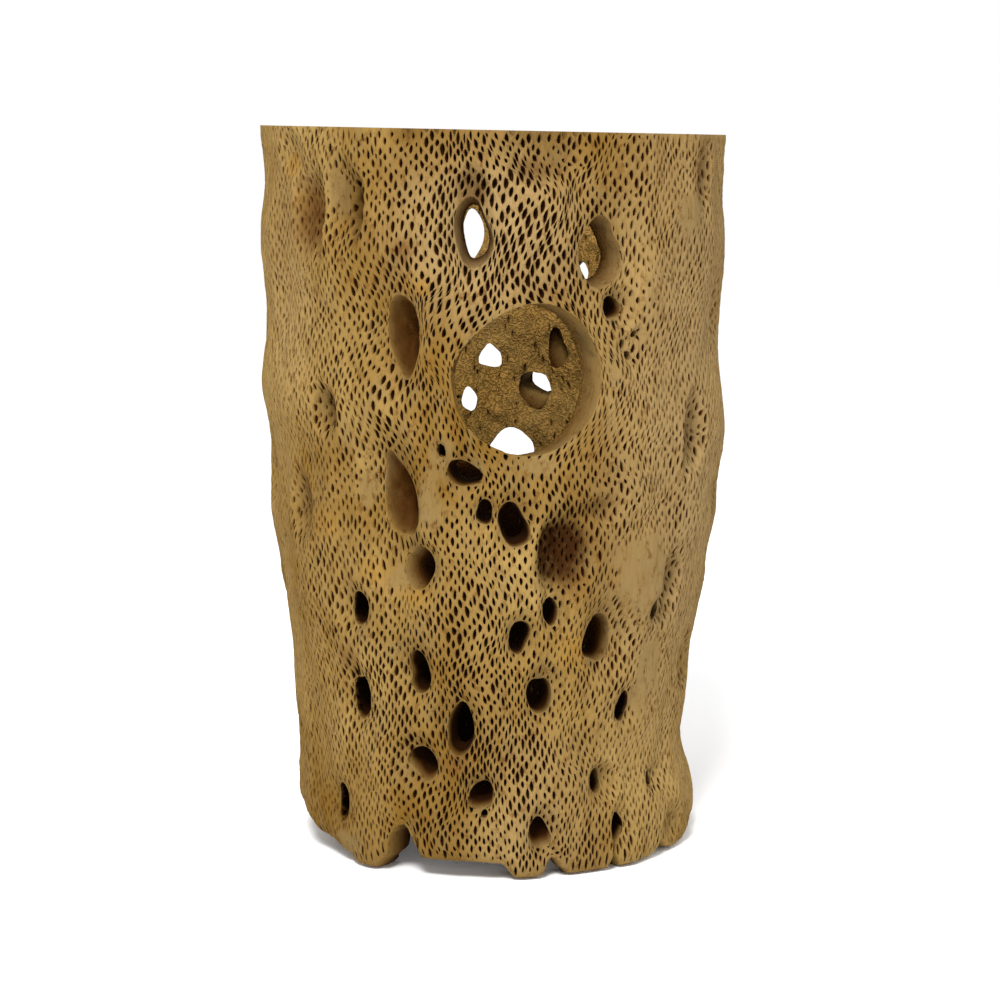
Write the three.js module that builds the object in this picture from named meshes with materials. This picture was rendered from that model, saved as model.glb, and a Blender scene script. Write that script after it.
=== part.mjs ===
import * as THREE from "three";

// A dried cactus skeleton: one upright hollow tube of wood whose wall is a net of fibres
// round slit pores, with larger tunnels through it, a sawn top and a worn ragged foot.
// Lengths are millimetres, turns are degrees. Turn 0 is the front and a turn to the right is positive.

// Driving sizes of the tube
const topHeight = 236;
const topFall = 0.0205;
const wallThickness = 13;
const unrolledRadius = 72;
const crestNoise = 0.35;

// Driving sizes of the raised net, drawn larger than life
const columnCount = 72;
const rowCount = 22;
const poreDepth = 2.5;
const smoothPoreDepth = 0.25;
const endPoreDepth = 1.6;
const smoothGain = 2;

// Driving sizes of the tunnels
const usualNarrowing = 0.76;
const usualDent = 3.2;
const dentReach = 2;
const deepestDent = 9;
const hollowSteepness = 2.5;
const bowlRise = 1;
const bowlShare = 0.62;
const wideBlock = [3, 4, 3];
const tallBlock = [1, 2, 1];
const singleBlock = [1];
const wideMouth = 30;
const broadMouth = 14;
const tallMouth = 20;
const plainEndRows = 2;
const cellSlimness = 1.8;
const hollowReach = 1.35;
const relaxSteps = 700;
const randomSeed = 7;

// Outer radius of the tube against height on its left and right sides
const leftProfile = [
  [0, 64], [20, 66], [60, 67.3], [92, 71.3], [114, 73], [132, 73], [153, 76.2],
  [178, 74.8], [204, 76.4], [221, 74.9], [236, 75.6],
];
const rightProfile = [
  [0, 66.5], [12, 67], [34, 63.5], [60, 66], [92, 70.5], [115, 74.3], [140, 76.9],
  [166, 74.6], [200, 76.5], [216, 75.5], [236, 75.8],
];

// Height of the worn foot against the turn
const footOutline = [
  [-180, 0], [-171, 0], [-164, 5], [-158, 9], [-152, 1], [-143, 0], [-136, 3], [-128, 6],
  [-122, 0], [-112, 0], [-106, 7], [-98, 12], [-90, 10], [-77, 11], [-60, 5], [-47, 2],
  [-43, 0], [-37, 0], [-33, 4], [-28, 14], [-25, 18], [-22.5, 14], [-21, 5.5], [-5, 5.5],
  [2, 5], [7, 0], [14, 0], [17.5, 6], [21, 2], [23, 0], [35, 0], [37.5, 4.5], [40, 0],
  [52, 0], [55, 0.5], [57.5, 5], [62, 1], [66, 0], [74, 0], [79, 8], [86, 4], [92, 0],
  [101, 0], [108, 8], [113, 9], [118, 2], [124, 0], [136, 0], [142, 4], [150, 11],
  [156, 3], [161, 0], [180, 0],
];

// Tunnels through the wall: turn, height, width and height of the mouth
const tunnels = [
  tunnel(8.9, 160.5, 45.6, 46.4, { dent: 1.5, narrowing: 0.9, drop: 2.6 }),
  tunnel(-4.7, 205, 11.5, 21, { dent: 3.5 }),
  tunnel(26.8, 198.6, 16, 21, { lean: -8 }),
  tunnel(30.7, 182, 7.4, 7.8),
  tunnel(-7, 132, 10.6, 8.6, { lean: -20, dent: 1.5 }),
  tunnel(-2, 119.9, 5.8, 7.4, { dent: 2 }),
  tunnel(5.2, 115.6, 9.8, 14, { lean: 12 }),
  tunnel(-19.5, 101.4, 11.4, 12.6, { dent: 4 }),
  tunnel(-37, 86.7, 10, 10.5),
  tunnel(-20.4, 67.8, 8.8, 13.6, { taper: 0.25 }),
  tunnel(-38.9, 57.2, 9.4, 16),
  tunnel(-9, 50, 10.8, 16.4, { taper: 0.3 }),
  tunnel(-20.3, 37.5, 11.2, 11.4),
  tunnel(-3.2, 28, 9.4, 9.6, { taper: 0.3, drop: -4 }),
  tunnel(-48.9, 20.5, 8, 13),
  tunnel(7.1, 79.6, 7.6, 10.8),
  tunnel(13.3, 60, 9.2, 13),
  tunnel(15.4, 87.6, 6.2, 9.2),
  tunnel(30.1, 77.7, 12.5, 17.6, { taper: 0.2, dent: 4 }),
  tunnel(47.2, 85.2, 9, 7),
  tunnel(39.9, 53.5, 8.6, 9.8),
  tunnel(32.4, 29.7, 7.4, 7.8),
  tunnel(52.6, 27, 7.4, 6),
  tunnel(13.5, 15, 7.4, 12.5, { lean: 30, drop: -4.5 }),
  tunnel(38, 14, 6.4, 11.5, { drop: -3 }),
  tunnel(72, 178, 9, 15),
  tunnel(78, 118, 10, 15),
  tunnel(70, 62, 9, 13),
  tunnel(88, 206, 10, 18),
  tunnel(93, 148, 11, 17),
  tunnel(95, 88, 9, 14),
  tunnel(84, 33, 9, 12),
  tunnel(108, 177, 9, 16),
  tunnel(112, 118, 12, 15),
  tunnel(108, 56, 10, 14),
  tunnel(126, 209, 11, 17),
  tunnel(131, 150, 12, 19),
  tunnel(128, 88, 10, 14),
  tunnel(125, 32, 10, 12),
  tunnel(147, 115, 10, 15),
  tunnel(143, 61, 11, 15),
  tunnel(151, 184.5, 12, 14),
  tunnel(152, 159, 10, 12, { veer: 7 }),
  tunnel(164.5, 144.5, 12, 15),
  tunnel(181, 156, 10, 11),
  tunnel(188, 140.5, 8, 11),
  tunnel(174.5, 121.8, 22, 18.5),
  tunnel(187, 199, 12, 24),
  tunnel(167, 214, 10, 14),
  tunnel(163, 84, 10, 14),
  tunnel(181, 66, 11, 14),
  tunnel(159, 34, 9, 12),
  tunnel(177, 27, 9, 11),
  tunnel(197, 93, 12, 15),
  tunnel(198, 42, 10, 14),
  tunnel(206, 170, 11, 17),
  tunnel(208, 126, 9, 14),
  tunnel(213, 214, 10, 16),
  tunnel(215, 70, 10, 14),
  tunnel(226, 188, 11, 18),
  tunnel(224, 147, 10, 15),
  tunnel(229, 104, 12, 16),
  tunnel(233, 48, 10, 14),
  tunnel(245, 216, 9, 14),
  tunnel(243, 164, 11, 17),
  tunnel(247, 127, 9, 13),
  tunnel(249, 82, 10, 14),
  tunnel(246, 27, 9, 12),
  tunnel(263, 197, 11, 17),
  tunnel(262, 145, 11, 15),
  tunnel(264, 104, 9, 13),
  tunnel(266, 56, 10, 14),
  tunnel(279, 173, 9, 14),
  tunnel(281, 124, 9, 13),
  tunnel(283, 84, 9, 12),
  tunnel(286, 38, 9, 12),
];

// Blind pits that end inside the wall
const blindPits = [
  tunnel(-22.4, 174, 12, 28, { dent: 3.5, depth: 7.5 }),
  tunnel(-24, 124.5, 13, 26, { lean: 10, taper: 0.3, dent: 3.5, depth: 7 }),
];

// Hollows that the net runs on through, and soft swellings with a negative depth
const hollows = [
  hollow(19.2, 107, 19, 26, 8.5),
  hollow(27.5, 119, 12.6, 8.8, 3.5),
  hollow(11.6, 229, 21, 18, 6.5),
  hollow(-21.3, 235, 11, 8, 3),
  hollow(-4.5, 219, 9, 12, 3.5),
  hollow(-34.8, 215, 9, 22, 5.5),
  hollow(-48.5, 211.7, 12, 26, 6),
  hollow(-45.5, 149.4, 11, 15, 6),
  hollow(-57.3, 117.3, 11, 22, 5),
  hollow(-57, 229, 13, 14, 2),
  hollow(58.6, 140, 11, 18, 6),
  hollow(53, 95, 11, 17, 4.5),
  hollow(62, 223, 9, 22, 3),
  hollow(63, 10, 12, 12, 3),
  hollow(43, 95, 24, 34, -3.2),
  hollow(-15, 120, 9, 24, -1.8),
  hollow(52, 210, 20, 16, -1.2),
  hollow(148, 228, 14, 14, 4),
  hollow(228, 130, 12, 20, 3),
  hollow(118, 142, 12, 22, 3),
  hollow(96, 176, 12, 20, 3),
];

// Smooth skin without pores: turn, height, width and height of each patch
const smoothPatches = [
  hollow(-15.5, 126, 8, 26, 0),
  hollow(-33.5, 124, 6, 16, 0),
  hollow(-27, 97, 9, 8, 0),
  hollow(52, 210, 16, 15, 0),
  hollow(44, 95, 20, 34, 0),
  hollow(48, 62, 18, 30, 0),
  hollow(-47, 7, 16, 12, 0),
];

/**
 * A tunnel or pit: the turn, height, width and height of its mouth, and what else sets it apart.
 * Lean tips the mouth, taper thins its upper end and dent sinks it in the outer face.
 * Narrowing, drop and veer give the inner mouth its share of the size, its lower place and its turn.
 */
function tunnel(turn, z, wide, tall, extra = {}) {
  const usual = { lean: 0, taper: 0, dent: usualDent, depth: 0, narrowing: usualNarrowing, drop: 0, veer: 0 };
  return { turn, z, wide, tall, ...usual, ...extra };
}

/** A soft hollow in the outer face. */
function hollow(turn, z, wide, tall, depth) {
  return { turn, z, wide, tall, depth };
}

/** The turn brought into the half circle either side of zero. */
function nearTurn(turn) {
  return turn - 360 * Math.round(turn / 360);
}

/** Arc length on the unrolled tube for a turn. */
function arc(turn) {
  return THREE.MathUtils.degToRad(turn) * unrolledRadius;
}

/** The turn for an arc length on the unrolled tube. */
function turnOf(length) {
  return THREE.MathUtils.radToDeg(length / unrolledRadius);
}

/** A value read along a list of points, eased between them. */
function along(points, at) {
  const last = points[points.length - 1];
  if (at >= last[0]) {
    return last[1];
  }
  let index = 1;
  while (points[index][0] < at) {
    index += 1;
  }
  const [startAt, startValue] = points[index - 1];
  const [endAt, endValue] = points[index];
  const share = THREE.MathUtils.clamp((at - startAt) / (endAt - startAt), 0, 1);
  return THREE.MathUtils.lerp(startValue, endValue, THREE.MathUtils.smoothstep(share, 0, 1));
}

/** Height of the foot at a turn. */
function footHeight(turn) {
  return along(footOutline, nearTurn(turn));
}

/** How deep inside an oval area a point lies: 1 at its middle, fading to 0 outside it. */
function softInside(area, turn, z, reach) {
  const across = arc(nearTurn(turn - area.turn)) / (area.wide / 2);
  const up = (z - area.z) / (area.tall / 2);
  const distance = Math.hypot(across, up) / reach;
  return distance >= 1 ? 0 : (1 - distance ** hollowSteepness) ** 2;
}

/** Radius of the tube before any dent is made in it. */
function bodyRadius(turn, z) {
  const rightShare = (1 + Math.sin(THREE.MathUtils.degToRad(turn))) / 2;
  return THREE.MathUtils.lerp(along(leftProfile, z), along(rightProfile, z), rightShare);
}

/** Radius of the crests of the outer face, with its dents and hollows. */
function outerRadius(turn, z) {
  let dent = 0;
  for (const area of hollows) {
    dent += area.depth * softInside(area, turn, z, hollowReach);
  }
  for (const area of [...tunnels, ...blindPits]) {
    dent += area.dent * softInside(area, turn, z, dentReach);
  }
  return bodyRadius(turn, z) - Math.min(dent, deepestDent);
}

/** Radius of the inner face. */
function innerRadius(turn, z) {
  return bodyRadius(turn, z) - wallThickness;
}

/** A repeatable random number between -1 and 1. */
function makeRandom(seed) {
  let state = seed;
  return () => {
    state = (state * 16807) % 2147483647;
    return (2 * state) / 2147483647 - 1;
  };
}

/** The outline in the inner face of a tunnel whose outer mouth is given. */
function innerMouth(mouth) {
  return {
    ...mouth,
    turn: mouth.turn + mouth.veer,
    z: mouth.z - mouth.drop,
    wide: mouth.wide * mouth.narrowing,
    tall: mouth.tall * mouth.narrowing,
  };
}

/** A point on the mouth of a tunnel on the unrolled tube, by its angle round the mouth. */
function mouthPoint(mouth, angle, share) {
  const up = (mouth.tall / 2) * Math.sin(angle) * share;
  const across = (mouth.wide / 2) * Math.cos(angle) * (1 - mouth.taper * Math.sin(angle)) * share;
  const lean = THREE.MathUtils.degToRad(mouth.lean);
  return [
    arc(mouth.turn) + across * Math.cos(lean) - up * Math.sin(lean),
    mouth.z + across * Math.sin(lean) + up * Math.cos(lean),
  ];
}

/** The angle round a mouth at which a point of the unrolled tube lies. */
function mouthAngle(mouth, point) {
  const across = arc(nearTurn(turnOf(point.arc) - mouth.turn));
  const up = point.z - mouth.z;
  const lean = THREE.MathUtils.degToRad(mouth.lean);
  const flatAcross = (across * Math.cos(lean) + up * Math.sin(lean)) / (mouth.wide / 2);
  const flatUp = (up * Math.cos(lean) - across * Math.sin(lean)) / (mouth.tall / 2);
  return Math.atan2(flatUp, flatAcross / (1 - mouth.taper * THREE.MathUtils.clamp(flatUp, -1, 1)));
}

/** How many cells of each row are left out for a mouth, so that its loop has points enough. */
function blockFor(mouth) {
  if (mouth.wide > wideMouth) {
    return wideBlock;
  }
  return mouth.wide > broadMouth || mouth.tall > tallMouth ? tallBlock : singleBlock;
}

/** The net: diamond cells between crossing points, each cell known by its row and half column. */
class Net {
  constructor(mouths, inside) {
    this.outlineOf = new Map(mouths.map((mouth) => [mouth, inside ? innerMouth(mouth) : mouth]));
    this.halfColumns = 2 * columnCount;
    this.points = new Map();
    this.removed = new Map();
    this.taken = new Set();
    this.fillPoints();
    mouths.forEach((mouth) => this.removeCells(mouth));
    this.findLoops(mouths);
    this.dropLoosePoints();
    this.relax();
  }

  key(row, half) {
    return row * this.halfColumns + ((half + this.halfColumns) % this.halfColumns);
  }

  /** The turn and height of a crossing point or cell before the net settles. */
  startPlace(row, half) {
    const turn = (half * 360) / this.halfColumns;
    const foot = footHeight(turn);
    return [turn, foot + ((topHeight - foot) * row) / rowCount];
  }

  fillPoints() {
    for (let row = 0; row <= rowCount; row += 1) {
      for (let half = row % 2; half < this.halfColumns; half += 2) {
        const [turn, z] = this.startPlace(row, half);
        this.points.set(this.key(row, half), { row, half, arc: arc(turn), z, mouth: null });
      }
    }
  }

  /** The four corners of a cell, seen from outside against the clock. Corners past an end are left out. */
  corners(row, half) {
    const list = [[row, half + 1], [row + 1, half], [row, half - 1], [row - 1, half]];
    return list.filter(([r]) => r >= 0 && r <= rowCount).map(([r, h]) => this.key(r, h));
  }

  cells() {
    const list = [];
    for (let row = 0; row <= rowCount; row += 1) {
      for (let half = (row + 1) % 2; half < this.halfColumns; half += 2) {
        list.push({ row, half, key: this.key(row, half) });
      }
    }
    return list;
  }

  /** The cells of a block of rows, centred on a row and half column. */
  blockCells(counts, row, half) {
    const firstRow = row - (counts.length - 1) / 2;
    return counts.flatMap((count, index) => Array.from({ length: count }, (unused, place) => (
      { row: firstRow + index, half: half - count + 1 + 2 * place })));
  }

  /** Whether no corner of a block's cells lies on another mouth. */
  isFree(block) {
    return block.every((cell) => this.corners(cell.row, cell.half).every((key) => !this.taken.has(key)));
  }

  /** Takes out the block of cells nearest to a mouth that touches no other mouth. */
  removeCells(mouth) {
    const counts = blockFor(mouth);
    const middleCount = counts[(counts.length - 1) / 2];
    let best = null;
    let bestDistance = Infinity;
    for (let row = plainEndRows; row <= rowCount - plainEndRows; row += 1) {
      for (let half = (row + middleCount) % 2; half < this.halfColumns; half += 2) {
        const [turn, z] = this.startPlace(row, half);
        const distance = Math.hypot(arc(nearTurn(turn - mouth.turn)), (z - mouth.z) / cellSlimness);
        const block = this.blockCells(counts, row, half);
        if (distance < bestDistance && this.isFree(block)) {
          bestDistance = distance;
          best = block;
        }
      }
    }
    for (const cell of best) {
      this.removed.set(this.key(cell.row, cell.half), mouth);
      this.corners(cell.row, cell.half).forEach((key) => this.taken.add(key));
    }
  }

  /** The edge between two crossing points, named the same from both sides. */
  edge(a, b) {
    return a < b ? `${a} ${b}` : `${b} ${a}`;
  }

  /** The sides of left-out cells that border cells that stay, grouped by mouth. */
  openSides(mouths) {
    const sides = new Map();
    for (const cell of this.cells().filter(({ key }) => this.removed.has(key))) {
      const ring = this.corners(cell.row, cell.half);
      ring.forEach((from, index) => {
        const to = ring[(index + 1) % ring.length];
        const name = this.edge(from, to);
        if (!sides.delete(name)) {
          sides.set(name, { from, to, mouth: this.removed.get(cell.key) });
        }
      });
    }
    return new Map(mouths.map((mouth) => [mouth, [...sides.values()].filter((side) => side.mouth === mouth)]));
  }

  /** Walks round every mouth and notes its crossing points in order. */
  findLoops(mouths) {
    this.loops = new Map();
    for (const [mouth, sides] of this.openSides(mouths)) {
      const next = new Map(sides.map((side) => [side.from, side.to]));
      const loop = [sides[0].from];
      while (next.get(loop[loop.length - 1]) !== loop[0]) {
        loop.push(next.get(loop[loop.length - 1]));
      }
      loop.forEach((key) => {
        this.points.get(key).mouth = mouth;
      });
      this.loops.set(mouth, loop);
    }
  }

  /** The crossing points that a strand of the net joins to this one. */
  neighbours(key) {
    const { row, half } = this.points.get(key);
    const list = [[row + 1, half + 1], [row + 1, half - 1], [row - 1, half - 1], [row - 1, half + 1]];
    return list.filter(([r, h]) => r >= 0 && r <= rowCount)
      .filter(([r, h]) => !(this.removed.has(this.key(r, half)) && this.removed.has(this.key(row, h))))
      .map(([r, h]) => this.key(r, h));
  }

  /** Drops the crossing points that lie inside a mouth, where no strand is left. */
  dropLoosePoints() {
    const loose = [...this.points.keys()].filter((key) => this.neighbours(key).length === 0);
    loose.forEach((key) => this.points.delete(key));
  }

  /** Lets the strands settle between the mouths, while each mouth keeps its own outline. */
  relax() {
    const moving = [...this.points].filter(([, point]) => point.row > 0 && point.row < rowCount)
      .map(([key, point]) => ({ point, around: this.neighbours(key).map((other) => this.points.get(other)) }));
    const circle = arc(360);
    for (let step = 0; step < relaxSteps; step += 1) {
      for (const { point, around } of moving) {
        let sumArc = 0;
        let sumZ = 0;
        for (const other of around) {
          sumArc += other.arc - circle * Math.round((other.arc - point.arc) / circle);
          sumZ += other.z;
        }
        point.arc = sumArc / around.length;
        point.z = sumZ / around.length;
        if (point.mouth) {
          const rim = this.outlineOf.get(point.mouth);
          const [mouthArc, mouthZ] = mouthPoint(rim, mouthAngle(rim, point), 1);
          point.arc = mouthArc;
          point.z = mouthZ;
        }
      }
    }
  }
}

/** Points and triangles of the finished surface. */
class Surface {
  constructor() {
    this.positions = [];
    this.triangles = [];
  }

  /** Adds a point by arc length, height and radius and gives its number. */
  add(arcLength, z, radius) {
    const turn = THREE.MathUtils.degToRad(turnOf(arcLength));
    this.positions.push(radius * Math.sin(turn), -radius * Math.cos(turn), z);
    return this.positions.length / 3 - 1;
  }

  face(a, b, c) {
    this.triangles.push(a, b, c);
  }

  /** A strip between two rings of the same count, facing into a tunnel. */
  strip(outerRing, innerRing) {
    outerRing.forEach((from, index) => {
      const next = (index + 1) % outerRing.length;
      this.face(from, outerRing[next], innerRing[next]);
      this.face(from, innerRing[next], innerRing[index]);
    });
  }

  toGeometry() {
    const geometry = new THREE.BufferGeometry();
    geometry.setAttribute("position", new THREE.Float32BufferAttribute(this.positions, 3));
    geometry.setIndex(this.triangles);
    geometry.computeVertexNormals();
    return geometry;
  }
}

/** One face of the wall, outer or inner, with its points numbered in the surface. */
class WallFace {
  constructor(surface, net, radiusAt, roughness) {
    this.surface = surface;
    this.net = net;
    this.radiusAt = radiusAt;
    this.numbers = new Map();
    const random = makeRandom(randomSeed);
    for (const [key, point] of net.points) {
      this.numbers.set(key, this.place(point, point.row, roughness * random()));
    }
    this.edgeNumbers = new Map();
    for (const [mouth, loop] of net.loops) {
      loop.forEach((from, index) => this.addMiddle(mouth, from, loop[(index + 1) % loop.length]));
    }
  }

  /** Places a point of the net; the top row lies in the sawn plane. */
  place(point, row, change) {
    const turn = turnOf(point.arc);
    const radius = this.radiusAt(turn, point.z) + change;
    const sawnHeight = topHeight - topFall * radius * Math.sin(THREE.MathUtils.degToRad(turn));
    return this.surface.add(point.arc, row === rowCount ? sawnHeight : point.z, radius);
  }

  /** A further point on the rim of a mouth, halfway along one side of its loop. */
  addMiddle(mouth, from, to) {
    const outline = this.net.outlineOf.get(mouth);
    const start = mouthAngle(outline, this.net.points.get(from));
    const end = mouthAngle(outline, this.net.points.get(to));
    const halfStep = THREE.MathUtils.euclideanModulo(end - start, 2 * Math.PI) / 2;
    const [middleArc, middleZ] = mouthPoint(outline, start + halfStep, 1);
    const number = this.surface.add(middleArc, middleZ, this.radiusAt(turnOf(middleArc), middleZ));
    this.edgeNumbers.set(this.net.edge(from, to), number);
  }

  /** The place in an end cell's outline after which the side along the tube's end begins. */
  endStart(cell, ring) {
    const side = cell.row === 0 ? -1 : 1;
    return ring.indexOf(this.numbers.get(this.net.key(cell.row, cell.half + side)));
  }

  /** The numbered outline of a cell, with the further points on the rims of mouths. */
  outline(cell) {
    const ring = this.net.corners(cell.row, cell.half);
    const list = [];
    ring.forEach((from, index) => {
      list.push(this.numbers.get(from));
      const middle = this.edgeNumbers.get(this.net.edge(from, ring[(index + 1) % ring.length]));
      if (middle !== undefined) {
        list.push(middle);
      }
    });
    return list;
  }

  /** The rim of a mouth as a ring of point numbers. */
  rim(mouth) {
    const loop = this.net.loops.get(mouth);
    return loop.flatMap((from, index) => [
      this.numbers.get(from), this.edgeNumbers.get(this.net.edge(from, loop[(index + 1) % loop.length]))]);
  }

  /** The middle of a cell on the unrolled tube. */
  middleOf(cell) {
    const points = this.net.corners(cell.row, cell.half).map((key) => this.net.points.get(key));
    const ends = points.length < 4 ? points.filter((point) => point.row === cell.row) : points;
    const first = ends[0].arc;
    const circle = arc(360);
    const near = ends.map((point) => point.arc - circle * Math.round((point.arc - first) / circle));
    return {
      arc: near.reduce((sum, value) => sum + value, 0) / near.length,
      z: ends.reduce((sum, point) => sum + point.z, 0) / ends.length,
    };
  }
}

/** Depth of the pore relief at a place: shallow on smooth skin. */
function poreDepthAt(turn, z, ending) {
  const smooth = Math.max(...smoothPatches.map((patch) => softInside(patch, turn, z, hollowReach)));
  const full = ending ? endPoreDepth : poreDepth;
  return THREE.MathUtils.lerp(full, smoothPoreDepth, Math.min(1, smoothGain * smooth));
}

/** Fills the outer face: every cell is a slim pit between raised strands. */
function fillOuterFace(surface, outer) {
  const ends = new Map();
  for (const cell of outer.net.cells()) {
    if (outer.net.removed.has(cell.key)) {
      continue;
    }
    const ending = cell.row === 0 || cell.row === rowCount;
    const middle = outer.middleOf(cell);
    if (cell.row === 0) {
      middle.z = footHeight(turnOf(middle.arc));
    }
    const pit = outer.place(middle, cell.row, -poreDepthAt(turnOf(middle.arc), middle.z, ending));
    const ring = outer.outline(cell);
    const openSide = ending ? outer.endStart(cell, ring) : -1;
    ring.forEach((from, index) => {
      if (index !== openSide) {
        surface.face(from, ring[(index + 1) % ring.length], pit);
      }
    });
    if (ending) {
      ends.set(cell.key, pit);
    }
  }
  return ends;
}

/** Fills the inner face with plain cells that face the hollow middle. */
function fillInnerFace(surface, inner) {
  const rimNumbers = new Set(inner.edgeNumbers.values());
  const ends = new Map();
  for (const cell of inner.net.cells()) {
    if (inner.net.removed.has(cell.key)) {
      continue;
    }
    const ring = inner.outline(cell);
    let start = Math.max(0, ring.findIndex((number) => rimNumbers.has(number)));
    if (cell.row === 0) {
      const middle = inner.middleOf(cell);
      const number = inner.place({ ...middle, z: footHeight(turnOf(middle.arc)) }, 0, 0);
      ring.splice(inner.endStart(cell, ring) + 1, 0, number);
      ends.set(cell.key, number);
      start = ring.indexOf(number);
    }
    for (let index = 1; index < ring.length - 1; index += 1) {
      surface.face(ring[start], ring[(start + index + 1) % ring.length], ring[(start + index) % ring.length]);
    }
  }
  return ends;
}

/** Joins the outer and inner faces across the sawn top and the worn foot. */
function closeEnds(surface, outer, inner, pits, footMiddles) {
  for (const cell of outer.net.cells()) {
    if (cell.row !== 0 && cell.row !== rowCount) {
      continue;
    }
    const right = outer.net.key(cell.row, cell.half + 1);
    const left = outer.net.key(cell.row, cell.half - 1);
    const [first, second] = cell.row === 0 ? [right, left] : [left, right];
    const pit = pits.get(cell.key);
    const middle = footMiddles.get(cell.key);
    surface.face(outer.numbers.get(first), pit, inner.numbers.get(first));
    surface.face(pit, outer.numbers.get(second), inner.numbers.get(second));
    if (middle === undefined) {
      surface.face(pit, inner.numbers.get(second), inner.numbers.get(first));
    } else {
      surface.face(pit, middle, inner.numbers.get(first));
      surface.face(pit, inner.numbers.get(second), middle);
    }
  }
}

/** Lines every tunnel from its outer mouth to its inner mouth. */
function lineTunnels(surface, outer, inner) {
  for (const mouth of tunnels) {
    const outerRim = outer.rim(mouth);
    const innerRim = inner.rim(mouth);
    surface.strip(outerRim, innerRim);
  }
}

/** Closes every blind pit with a bowl. */
function lineBlindPits(surface, outer) {
  for (const mouth of blindPits) {
    const rim = outer.rim(mouth);
    const floorRadius = outerRadius(mouth.turn, mouth.z) - mouth.depth;
    const bottom = surface.add(arc(mouth.turn), mouth.z, floorRadius);
    const ring = bowlRing(surface, outer, mouth, floorRadius + bowlRise);
    surface.strip(rim, ring);
    ring.forEach((from, index) => surface.face(from, ring[(index + 1) % ring.length], bottom));
  }
}

/** The ring low in a bowl, under the rim of its mouth. */
function bowlRing(surface, outer, mouth, radius) {
  return outer.rim(mouth).map((number) => {
    const x = surface.positions[3 * number];
    const y = surface.positions[3 * number + 1];
    const z = surface.positions[3 * number + 2];
    const turn = THREE.MathUtils.radToDeg(Math.atan2(x, -y));
    const angle = mouthAngle(mouth, { arc: arc(turn), z });
    const [bowlArc, bowlZ] = mouthPoint(mouth, angle, bowlShare);
    return surface.add(bowlArc, bowlZ, radius);
  });
}

/** The whole skeleton as one closed surface. */
function buildSkeleton() {
  const surface = new Surface();
  const outer = new WallFace(surface, new Net([...tunnels, ...blindPits], false), outerRadius, crestNoise);
  const inner = new WallFace(surface, new Net(tunnels, true), innerRadius, crestNoise);
  const pits = fillOuterFace(surface, outer);
  const footMiddles = fillInnerFace(surface, inner);
  closeEnds(surface, outer, inner, pits, footMiddles);
  lineTunnels(surface, outer, inner);
  lineBlindPits(surface, outer);
  return surface.toGeometry();
}

const wood = new THREE.MeshStandardMaterial({ color: 0xb89a63, roughness: 0.85, metalness: 0 });
const skeleton = new THREE.Mesh(buildSkeleton(), wood);
skeleton.name = "skeleton";

const part = new THREE.Group();
part.name = "cactus_skeleton";
part.add(skeleton);

export default part;
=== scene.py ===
"""A dried cholla cactus skeleton, dressed in full detail.

One upright hollow tube of wood whose wall is a net of strands round slit pores, with larger
tunnels through it, a sawn top and a worn ragged foot. Sizes are millimetres and degrees until
a mesh is made. Turn 0 is the front and a turn to the right is positive.
"""
import logging
import math
from dataclasses import dataclass, field, replace
from enum import Enum
from typing import Any

import bpy
import numpy as np
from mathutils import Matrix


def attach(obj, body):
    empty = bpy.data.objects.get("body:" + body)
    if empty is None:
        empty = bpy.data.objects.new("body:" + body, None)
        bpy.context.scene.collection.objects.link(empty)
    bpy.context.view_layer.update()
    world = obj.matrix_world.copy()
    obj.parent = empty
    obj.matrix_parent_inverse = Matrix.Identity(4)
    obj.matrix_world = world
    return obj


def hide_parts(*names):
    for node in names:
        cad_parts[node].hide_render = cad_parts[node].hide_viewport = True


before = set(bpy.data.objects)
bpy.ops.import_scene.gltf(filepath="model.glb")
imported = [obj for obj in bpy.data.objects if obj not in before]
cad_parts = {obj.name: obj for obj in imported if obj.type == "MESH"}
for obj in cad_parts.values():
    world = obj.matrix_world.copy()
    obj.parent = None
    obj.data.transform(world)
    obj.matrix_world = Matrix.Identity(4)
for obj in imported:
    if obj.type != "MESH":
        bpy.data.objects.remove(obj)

LOG = logging.getLogger("cactus_skeleton")
UNROLLED_RADIUS = 72.0
CIRCLE = 2 * math.pi * UNROLLED_RADIUS
METRE = 0.001
NODE = "skeleton"
BODY = "root"
# Painted shade laid over the whole inner face.
INNER_PAINTED_SHADE = 0.05
TINY = 1e-20

Triple = tuple[float, float, float]
Pair = tuple[float, float]
# The height of an unevenness, with its length along x, y and z.
Wave = tuple[float, Triple]
# Numbers of points in rows, with the half columns and the rows of their places on the map.
Ring = tuple[np.ndarray, np.ndarray, np.ndarray]


class Face(Enum):
    """The two faces of the wall."""

    OUTER = "outer"
    INNER = "inner"


class Region(Enum):
    """The parts of a piece's map, each with the box it fills there."""

    OUTER = (0.004, 0.047, 0.545, 0.953)
    INNER = (0.555, 0.047, 0.945, 0.953)
    TOP = (0.004, 0.961, 0.945, 0.996)
    FOOT = (0.004, 0.004, 0.945, 0.039)
    LEFT_CUT = (0.952, 0.004, 0.971, 0.996)
    RIGHT_CUT = (0.977, 0.004, 0.996, 0.996)


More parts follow.
